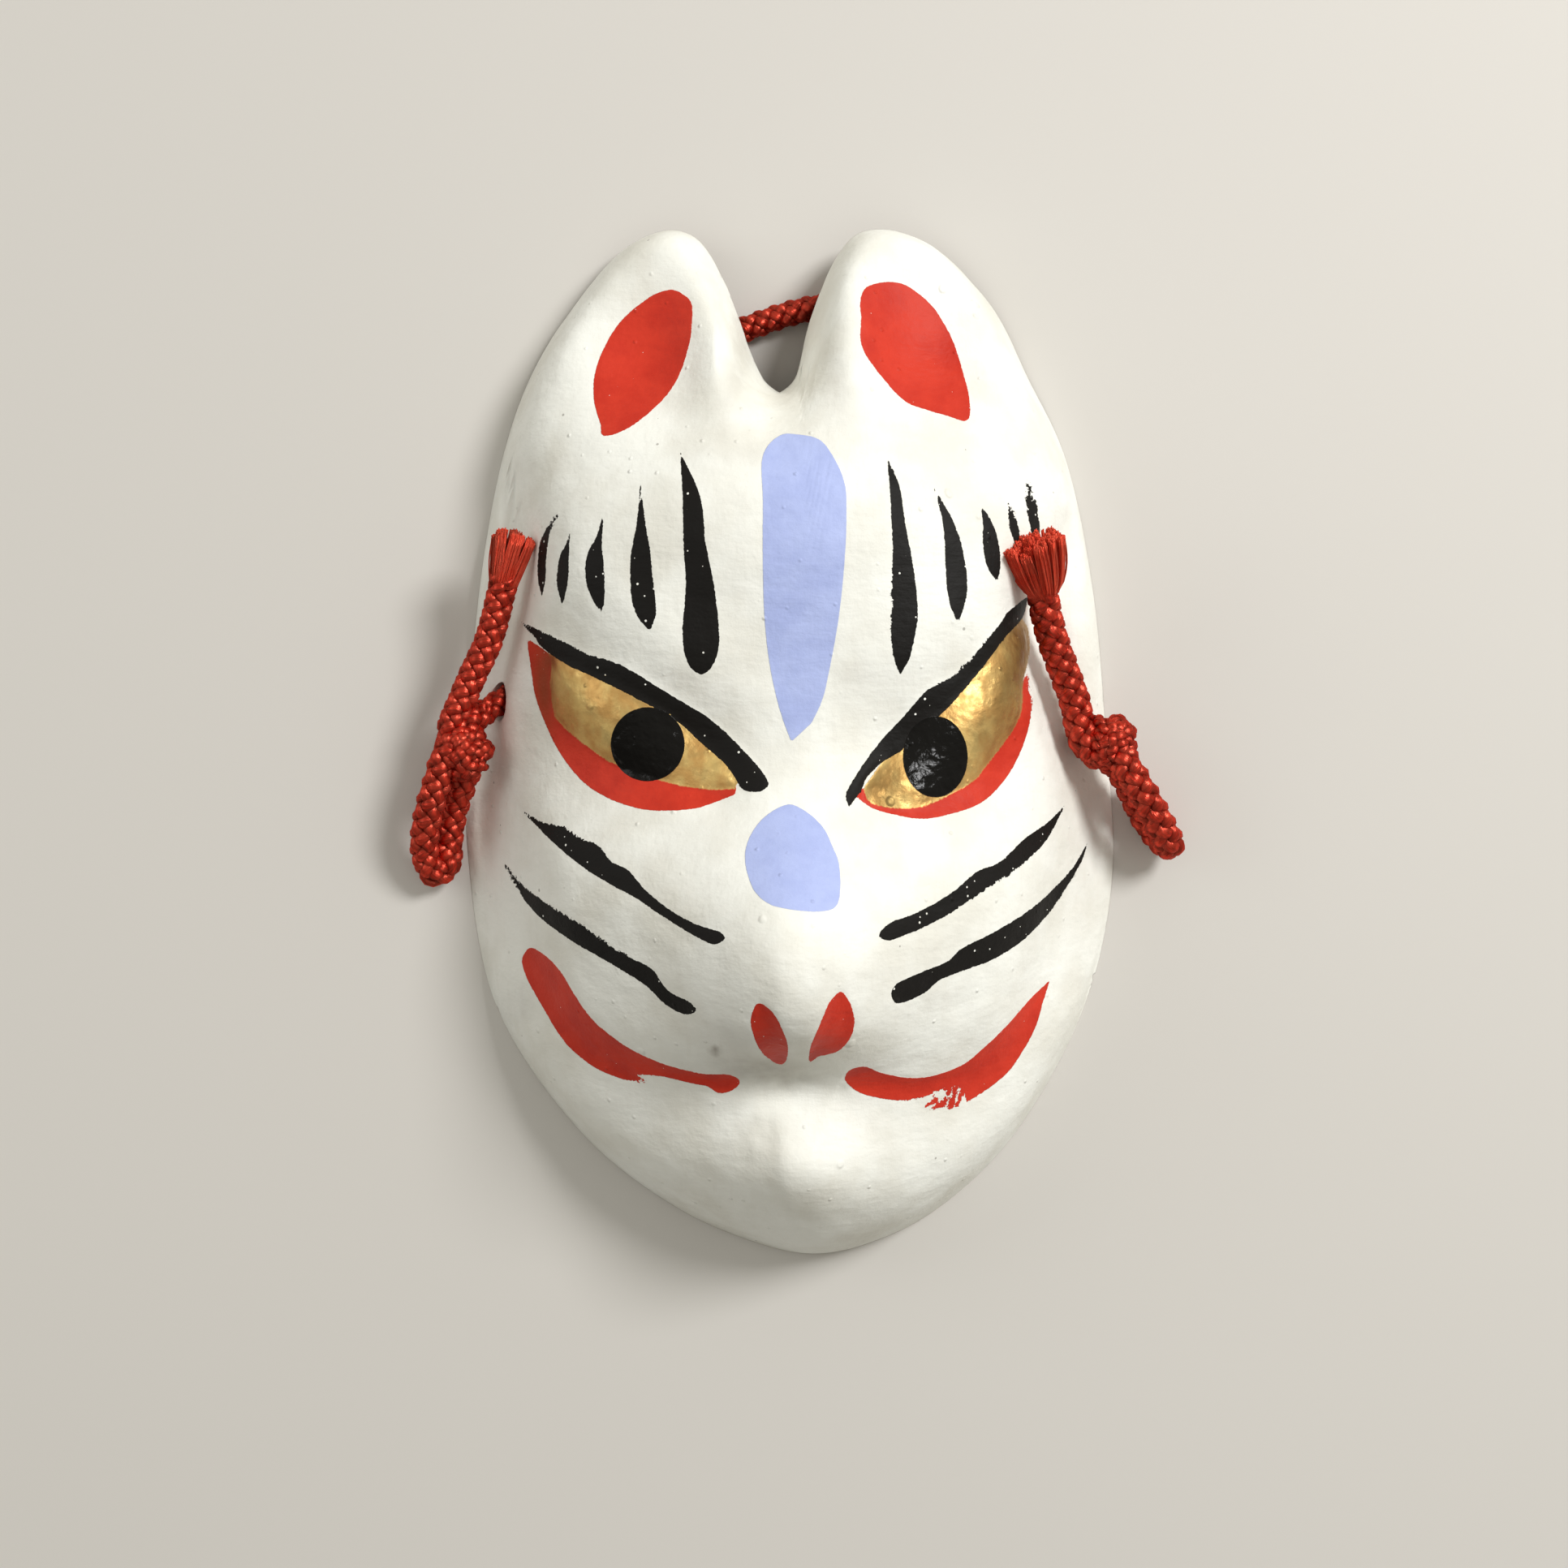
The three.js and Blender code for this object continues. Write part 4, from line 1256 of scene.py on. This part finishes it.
        mesh.vertices.foreach_set("co", (moved * MM).astype(np.float32).ravel())
        mesh.update()

    def store_paint(self, piece: bpy.types.Object) -> None:
        """Stores the painted patches and the marks as attributes that the material reads.

        Args:
            piece: The shell's piece.
        """
        mesh = piece.data
        _, pixels = self.seen_pixels(mesh)
        values = {paint.value: self.paint_depths(pixels, patches_of(paint)) for paint in Paint}
        # Besides the dry brush, these marks hold painted shade in the hollows with some grime, a painted red
        # reflection on the gold's ends with the gold's blend into the red, and painted shade on the gold
        marks = {"dry_brush": DRY_SPOTS, "shade_and_grime": SHADE_AND_GRIME, "red_reflection_and_blend": RED_REFLECTION_AND_BLEND, "gold_shade": GOLD_SHADE}
        values |= {name: np.clip(marks_at(pixels, spots), 0, 1) for name, spots in marks.items()}
        for name, value in values.items():
            attribute = mesh.attributes.new(name, "FLOAT", "POINT")
            attribute.data.foreach_set("value", value.astype(np.float32))

    def build(self) -> bpy.types.Object:
        """Builds the shell.

        Returns:
            The shell's piece.
        """
        piece = self.copy_node()
        self.sort_faces(piece)
        self.crease_rim(piece)
        self.smooth(piece)
        self.refine(piece)
        self.shape_relief(piece)
        self.store_paint(piece)
        bpy.ops.object.shade_smooth()
        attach(piece, ROOT)
        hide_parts(self.node)
        report(piece)
        return piece


def resample(line: np.ndarray, spacing: float) -> np.ndarray:
    """Spaces a line's points evenly.

    Args:
        line: The line's points.
        spacing: The distance wanted between them.

    Returns:
        The evenly spaced points.
    """
    lengths = np.concatenate([[0], np.cumsum(np.linalg.norm(np.diff(line, axis=0), axis=1))])
    count = max(int(round(lengths[-1] / spacing)), 4)
    wanted = np.linspace(0, lengths[-1], count + 1)
    return np.stack([np.interp(wanted, lengths, line[:, i]) for i in range(line.shape[1])], axis=1)


def length_of(line: np.ndarray) -> float:
    """Returns a line's length."""
    return float(np.linalg.norm(np.diff(line, axis=0), axis=1).sum())


def carried_frames(line: np.ndarray) -> tuple[np.ndarray, np.ndarray, np.ndarray]:
    """Carries a pair of cross directions along a line without twisting it.

    Args:
        line: The line's points.

    Returns:
        The directions along the line, and two directions square to each.
    """
    along = np.gradient(line, axis=0)
    along /= np.linalg.norm(along, axis=1)[:, None]
    side = np.zeros_like(line)
    start = np.cross(along[0], (0.0, 0.0, 1.0))
    side[0] = start / np.linalg.norm(start)
    for i in range(1, len(line)):
        carried = side[i - 1] - along[i] * np.dot(side[i - 1], along[i])
        side[i] = carried / np.linalg.norm(carried)
    return along, side, np.cross(along, side)


@dataclass
class TubeMesh:
    """Gathers swept tubes into one mesh, with a UV map that runs round and along each tube, and a tuck
    attribute by which the material paints shade.
    """

    points: list[np.ndarray] = field(default_factory=list)
    faces: list[tuple[int, ...]] = field(default_factory=list)
    uvs: list[tuple[float, float]] = field(default_factory=list)
    tucks: list[np.ndarray] = field(default_factory=list)
    count: int = 0
    # Painted shade along the sides of each strand's section
    edge_shade: float = 0.55
    fewest_tucked_sides: int = 6

    def add(
        self,
        centres: np.ndarray,
        wide: np.ndarray,
        thick: np.ndarray,
        sides: int,
        shift: float = 0.0,
        tuck: np.ndarray | None = None,
    ) -> None:
        """Adds a closed tube.

        Args:
            centres: The points along the tube's middle.
            wide: Half its width, as a vector at each point.
            thick: Half its thickness, as a vector at each point.
            sides: How many sides its section has.
            shift: Where its pattern starts along it.
            tuck: How deep each point of the middle lies among its neighbours, from 0 to 1; the material
                paints shade by it.
        """
        turns = 2 * math.pi * np.arange(sides) / sides
        rings = (
            centres[:, None, :]
            + np.cos(turns)[None, :, None] * wide[:, None, :]
            + np.sin(turns)[None, :, None] * thick[:, None, :]
        )
        steps = np.concatenate([[0], np.cumsum(np.linalg.norm(np.diff(centres, axis=0), axis=1))]) + shift
        base = self.count
        last = len(centres) - 1
        for i in range(last):
            for j in range(sides):
                k = (j + 1) % sides
                row, after = base + i * sides, base + (i + 1) * sides
                self.faces.append((row + j, row + k, after + k, after + j))
                u, v = j / sides, (j + 1) / sides
                self.uvs += [(u, steps[i]), (v, steps[i]), (v, steps[i + 1]), (u, steps[i + 1])]
        self.faces.append(tuple(base + j for j in reversed(range(sides))))
        self.faces.append(tuple(base + last * sides + j for j in range(sides)))
        self.uvs += [(0.0, steps[0])] * sides + [(0.0, steps[-1])] * sides
        self.points.append(rings.reshape(-1, 3))
        buried = np.zeros(len(centres)) if tuck is None else tuck
        # Painted shade also darkens the sides of each strand
        flanks = self.edge_shade * np.abs(np.cos(turns)) ** 3
        beside = flanks if sides >= self.fewest_tucked_sides else np.zeros(sides)
        self.tucks.append(np.clip(buried[:, None] + beside, 0, 1).ravel())
        self.count += rings.shape[0] * sides

    def make(self, name: str, material: bpy.types.Material) -> bpy.types.Object:
        """Makes the piece, in metres.

        Args:
            name: The piece's name.
            material: Its finish.

        Returns:
            The piece.
        """
        mesh = bpy.data.meshes.new(name)
        mesh.from_pydata((np.concatenate(self.points) * MM).tolist(), [], self.faces)
        layer = mesh.uv_layers.new(name="UVMap")
        layer.data.foreach_set("uv", np.array(self.uvs, np.float32).ravel())
        # The tuck attribute carries the painted shade for the material
        tuck = mesh.attributes.new("tuck", "FLOAT", "POINT")
        tuck.data.foreach_set("value", np.concatenate(self.tucks).astype(np.float32))
        mesh.polygons.foreach_set("use_smooth", np.ones(len(mesh.polygons), bool))
        mesh.materials.append(material)
        mesh.update()
        piece = bpy.data.objects.new(name, mesh)
        bpy.context.scene.collection.objects.link(piece)
        return piece


@dataclass(frozen=True)
class Braid:
    """A round braid of eight strands, four turning each way, over one and under one."""

    radius: float = 2.0
    pitch: float = 9.6
    strand_width: float = 1.6
    strand_thickness: float = 1.25
    weave: float = 0.38
    strands: int = 8
    sides: int = 8
    spacing: float = 0.3
    # How much painted shade falls on a strand where it dips under the others
    tuck: float = 0.85
    pattern_step: float = 3.7

    def add_to(self, tubes: TubeMesh, route: np.ndarray, squeeze: float = 1.0) -> None:
        """Lays the strands along a route.

        Args:
            tubes: The mesh that they are added to.
            route: The points of the cord's middle.
            squeeze: The cord's thickness there, as a share of its usual one.
        """
        line = resample(route, self.spacing * squeeze)
        _, side, up = carried_frames(line)
        way = np.linspace(0, length_of(line), len(line)) / squeeze
        middle = (self.radius - self.strand_thickness / 2 - self.weave) * squeeze
        half = self.strands // 2
        for strand in range(self.strands):
            turning = 1 if strand < half else -1
            phase = 2 * math.pi * (strand % half) / half
            angle = turning * 2 * math.pi * way / self.pitch + phase
            over = turning * np.cos(2 * math.pi * way * half / self.pitch)
            height = middle + self.weave * squeeze * over
            out = np.cos(angle)[:, None] * side + np.sin(angle)[:, None] * up
            centres = line + height[:, None] * out
            run = np.gradient(centres, axis=0)
            run /= np.linalg.norm(run, axis=1)[:, None]
            wide = np.cross(run, out)
            wide /= np.linalg.norm(wide, axis=1)[:, None]
            tubes.add(
                centres,
                wide * self.strand_width / 2 * squeeze,
                np.cross(wide, run) * self.strand_thickness / 2 * squeeze,
                self.sides,
                strand * self.pattern_step,
                self.tuck * ease(-over, -0.5, 0.7),
            )


def braid_piece(
    name: str, route: np.ndarray, material: bpy.types.Material, squeeze: float = 1.0, braid: Braid = Braid()
) -> bpy.types.Object:
    """Braids a stretch of the cord along a route.

    Args:
        name: The piece's name.
        route: The points of the cord's middle, in millimetres.
        material: Its finish.
        squeeze: The cord's thickness, as a share of its usual one.
        braid: The braid.

    Returns:
        The piece.
    """
    tubes = TubeMesh()
    braid.add_to(tubes, route, squeeze)
    return tubes.make(name, material)


@dataclass(frozen=True)
class Fray:
    """The end of the cord, cut off and opened into a dense flat tuft of filaments in clumps.

    Real filaments are 0.02 mm thick, and the tuft's are drawn 0.14 to 0.35 mm thick so that they
    show. Filaments start inside the braid, as deep as the root, and draw together in their clumps.
    """

    length: float
    width: float
    depth: float
    clumps: int
    seed: int
    slit: float | None = None
    lean: Place | None = None
    spread: float = 1.1
    dark: float = 0.45
    filaments: int = 1700
    thickness: float = 0.2
    root: float = 1.4
    root_radius: float = 1.9
    gather: float = 0.3
    stray: float = 0.08
    sway: float = 0.12
    slit_width: float = 0.07
    slit_fade: float = 0.15

    def add_to(self, tubes: TubeMesh, foot: np.ndarray, along: np.ndarray) -> None:
        """Adds the tuft.

        Args:
            tubes: The mesh that it is added to.
            foot: The middle of the braid where it opens.
            along: The direction that the braid has there.
        """
        chance = np.random.default_rng(self.seed)
        if self.lean is not None:
            along = np.array(self.lean) / np.linalg.norm(self.lean)
        flat = np.cross(along, (0.0, 0.0, 1.0))
        flat /= np.linalg.norm(flat)
        thin = np.cross(flat, along)
        spots = np.stack([chance.uniform(-1, 1, self.clumps), chance.uniform(-1, 1, self.clumps)], axis=1)
        tall_of = chance.normal(0, 0.04, self.clumps)
        dark_of = chance.uniform(-0.5 * self.dark, self.dark, self.clumps)
        steps = np.linspace(0, 1, 7)
        for i in range(self.filaments):
            turn, reach = chance.uniform(0, 2 * math.pi), math.sqrt(chance.uniform(0, 1))
            u, v = reach * math.cos(turn), reach * math.sin(turn)
            clump = int(np.argmin((spots[:, 0] - u) ** 2 + 0.3 * (spots[:, 1] - v) ** 2))
            wide = u + self.gather * (spots[clump, 0] - u)
            if self.slit is not None:
                gap = wide - self.slit
                wide += self.slit_width * math.copysign(math.exp(-abs(gap) / self.slit_fade), gap)
            high = v + self.gather * (spots[clump, 1] - v)
            across = wide * self.width / 2 + chance.normal(0, self.stray)
            away = high * self.depth / 2 + chance.normal(0, self.stray)
            tall = self.length * (1 + tall_of[clump] + chance.normal(0, 0.03) - 0.1 * abs(wide) ** 3)
            start = flat * u * self.root_radius + thin * v * self.root_radius
            bend = steps[:, None] ** self.spread
            bow = flat * chance.normal(0, self.sway) + thin * chance.normal(0, self.sway)
            centres = (
                foot
                - along * self.root
                + start * (1 - bend)
                + (flat * across + thin * away) * bend
                + along * (steps[:, None] * (tall + self.root))
                + bow * np.sin(math.pi * steps)[:, None]
            )
            half = self.thickness / 2 * chance.uniform(0.7, 1.3)
            wide_sides = np.repeat((flat * half)[None], len(steps), axis=0)
            thick_sides = np.repeat((thin * half)[None], len(steps), axis=0)
            buried = np.full(len(steps), np.clip(dark_of[clump] + chance.normal(0, 0.12), 0, 0.7))
            tubes.add(centres, wide_sides, thick_sides, 3, i * 0.37, buried)


@dataclass(frozen=True)
class Knot:
    """A tight knot: the cord wound round itself and crossed over the top once.

    Places and sizes are in millimetres. The winding leans from the knot's axis by tilt degrees.
    """

    centre: Place
    axis: Place
    tilt: float
    turns: float = 2.6
    span: float = 5.0
    reach: float = 2.7
    flatness: float = 0.94
    arch_reach: float = 2.65
    arch_slant: float = 0.5
    arch_height: float = 2.8
    squeeze: float = 0.82
    pitch: float = 9.0

    def route(self) -> np.ndarray:
        """Winds the cord, and leads it over the top.

        Returns:
            The points of the cord's middle, in millimetres.
        """
        axis = np.array(self.axis) / np.linalg.norm(self.axis)
        side = np.cross(axis, (0.0, 0.0, 1.0))
        side /= np.linalg.norm(side)
        up = np.cross(side, axis)
        tilt = math.radians(self.tilt)
        lean = axis * math.cos(tilt) + side * math.sin(tilt)
        across = side * math.cos(tilt) - axis * math.sin(tilt)
        share = np.linspace(0, 1, 70)
        angle = 2 * math.pi * self.turns * share + 0.6
        tuck = np.sin(math.pi * (0.2 + 0.6 * share)) ** 0.7 + 0.05 * np.cos(2.3 * angle)
        wander = 0.25 * np.sin(1.7 * angle + 0.5)
        wound = (
            lean * ((share - 0.5) * self.span + wander)[:, None]
            + across * (self.reach * tuck * np.cos(angle))[:, None]
            + up * (self.reach * self.flatness * tuck * np.sin(angle))[:, None]
        )
        over = np.linspace(-2.0, 2.0, 22)
        arch = (
            (0.75 * lean + 0.66 * across) * (self.arch_reach * np.sin(over))[:, None]
            + (0.66 * lean - 0.75 * across) * (self.arch_slant * over)[:, None]
            + up * (self.arch_height * np.cos(over))[:, None]
        )
        joined = smooth_line(np.concatenate([wound[::5], arch[::3]]), steps=10)
        return np.array(self.centre) + MIDDLE + joined


@dataclass(frozen=True)
class CordEnd:
    """One end of the cord outside the mask: its knot, hanging loop and frayed tail."""

    side: str
    exit: Place
    start: tuple[Place, ...]
    loop: tuple[Place, ...]
    through: tuple[Place, ...]
    tail: tuple[Place, ...]
    knot: Knot
    fray: Fray
    length: float
    fullness: float

    def route(self) -> np.ndarray:
        """Leads the cord from the hole to its frayed end.

        Returns:
            The points of the cord's middle, in millimetres.
        """
        places = np.array(self.start + self.loop + self.through + self.tail) + MIDDLE
        return smooth_line(places, steps=ROUTE_STEPS)

    def build(self, material: bpy.types.Material, loose: bpy.types.Material) -> None:
        """Builds the cord, the knot and the tuft of this end.

        Args:
            material: The finish of the braid.
            loose: The finish of the loose filaments.
        """
        route = self.route()
        cord = braid_piece(f"{self.side}_cord_braid", route, material, self.fullness)
        wound = self.knot
        knot_braid = Braid(pitch=wound.pitch)
        knot = braid_piece(f"{self.side}_knot_braid", wound.route(), material, wound.squeeze, knot_braid)
        tuft_tubes = TubeMesh()
        along = route[-1] - route[-3]
        self.fray.add_to(tuft_tubes, route[-1], along / np.linalg.norm(along))
        tuft = tuft_tubes.make(f"{self.side}_frayed_end", loose)
        for piece in (cord, knot, tuft):
            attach(piece, ROOT)
            report(piece)
        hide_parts(f"{self.side}_loop", f"{self.side}_tail")
        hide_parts(f"{self.side}_knot")
        LOG.info("%s cord is %.1f mm long", self.side, length_of(route))


# The cord's route, as in the solid model, in millimetres, with the steps from one place to the next.
ROUTE_STEPS = 14
BEHIND: tuple[Place, ...] = (
    (-44.22, 4.54, 7.03), (-41.26, 6.54, 5.23), (-39.04, 8.04, 3.88), (-36.4, 10.6, 2.6),
    (-32.9, 15.2, 2.2), (-30, 21.5, 2.2), (-26.8, 35.6, 2.2), (-20.6, 49.4, 2.2), (-12.6, 58, 2.2),
    (-6.2, 61, 2.2), (3, 63.9, 2.2), (13.8, 64.6, 2.2), (24.4, 59, 2.2), (31.2, 46, 2.2),
    (33.4, 31, 2.2), (33, 17, 2.2), (33, 9, 2.2), (34.6, 3.9, 2.3), (39.76, 1.26, 2.2),
    (42.16, 1.11, 4.0), (42.8, 1.07, 4.48),
)
LEFT_END = CordEnd(
    side="left",
    exit=(-44.3, 4.54, 7.03),
    start=((-44.22, 4.54, 7.03), (-47.0, 1.5, 9.6), (-49.2, -1.7, 10.2)),
    loop=(
        (-50.3, -4.9, 9.5), (-51.6, -8.6, 8.5), (-52.7, -12.6, 6.7), (-53.0, -16.2, 4.7),
        (-51.9, -18.9, 3.0), (-50.2, -17.8, 2.4), (-49.9, -14.2, 2.5), (-49.0, -9.8, 3.8),
        (-47.3, -5.6, 6.2),
    ),
    through=((-46.2, -2.4, 7.6), (-47.9, -0.6, 8.9)),
    tail=(
        (-48.5, 2.0, 9.6), (-46.9, 6.0, 10.1), (-45.2, 9.8, 10.7), (-43.1, 14.0, 11.5), (-41.9, 17.5, 12.2),
        (-41.0, 20.9, 12.9), (-40.3, 23.4, 13.4),
    ),
    knot=Knot(centre=(-46.5, -1.3, 8.9), axis=(0.05, 1, 0.05), tilt=-32.0),
    fray=Fray(6.3, 6.3, 3.4, 9, 11, lean=(0.25, 0.94, 0.2), dark=0.6),
    length=0.076,
    fullness=1.12,
)
RIGHT_END = CordEnd(
    side="right",
    exit=(42.68, 1.07, 4.48),
    start=((42.8, 1.07, 4.48), (44.6, 1.2, 8.0), (46.9, -1.2, 11.2)),
    loop=(
        (48.6, -4.2, 11.9), (50.8, -7.8, 11.4), (53.5, -12, 8.9), (55.2, -14.7, 5.7), (54.4, -13.8, 2.9),
        (52.4, -10.9, 2.6), (50.3, -7.4, 4.6), (48.6, -4.7, 7.3),
    ),
    through=((46.2, -2.2, 8.7), (43.2, -1.0, 9.8)),
    tail=(
        (41.8, 1.6, 10.6), (40.9, 5.6, 11.3), (39.2, 10, 12.4), (37.1, 15, 14.8), (35.7, 19.4, 17.6),
        (35.3, 21.8, 19.3),
    ),
    knot=Knot(centre=(46.0, 0.2, 10.0), axis=(-0.5, 0.86, 0), tilt=30.0),
    fray=Fray(
        6.8, 9.2, 6.0, 30, 23, slit=0.36, lean=(-0.27, 0.85, 0.45), spread=0.6, dark=0.05, filaments=2800,
        thickness=0.27,
    ),
    length=0.076,
    fullness=1.22,
)


@dataclass
class HangingCord:
    """The whole cord: the stretch behind the mask, and what comes out of each hole."""

    behind_length: float = 0.172
    braided: BraidedRayon = BraidedRayon()
    loose: BraidedRayon = BraidedRayon(
        red="#FF4A2C", deep_red="#E23220", bright_red="#FF7458", sheen=0.3
    )

    def build(self) -> None:
        """Builds the stretch behind the mask and both ends."""
        material = self.braided.build()
        loose = self.loose.build("Loose red rayon filaments")
        route = smooth_line(np.array(BEHIND) + MIDDLE, steps=ROUTE_STEPS)
        piece = braid_piece("hanging_cord_braid", route, material)
        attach(piece, ROOT)
        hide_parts("hanging_cord")
        report(piece)
        LOG.info("the cord behind the mask is %.1f mm long", length_of(route))
        LEFT_END.build(material, loose)
        RIGHT_END.build(material, loose)


def report(piece: bpy.types.Object) -> None:
    """Reports a finished piece with its number of triangles."""
    triangles = sum(len(face.vertices) - 2 for face in piece.data.polygons)
    LOG.info("%s: %d triangles", piece.name, triangles)


def main() -> None:
    """Builds the camera, the cord, the mask and the studio, in that order."""
    logging.basicConfig(level=logging.INFO, format="%(message)s")
    studio = Studio()
    studio.place_camera()
    HangingCord().build()
    MaskShell().build()
    studio.light()
    studio.lay_floor()


if __name__ == "__main__":
    main()
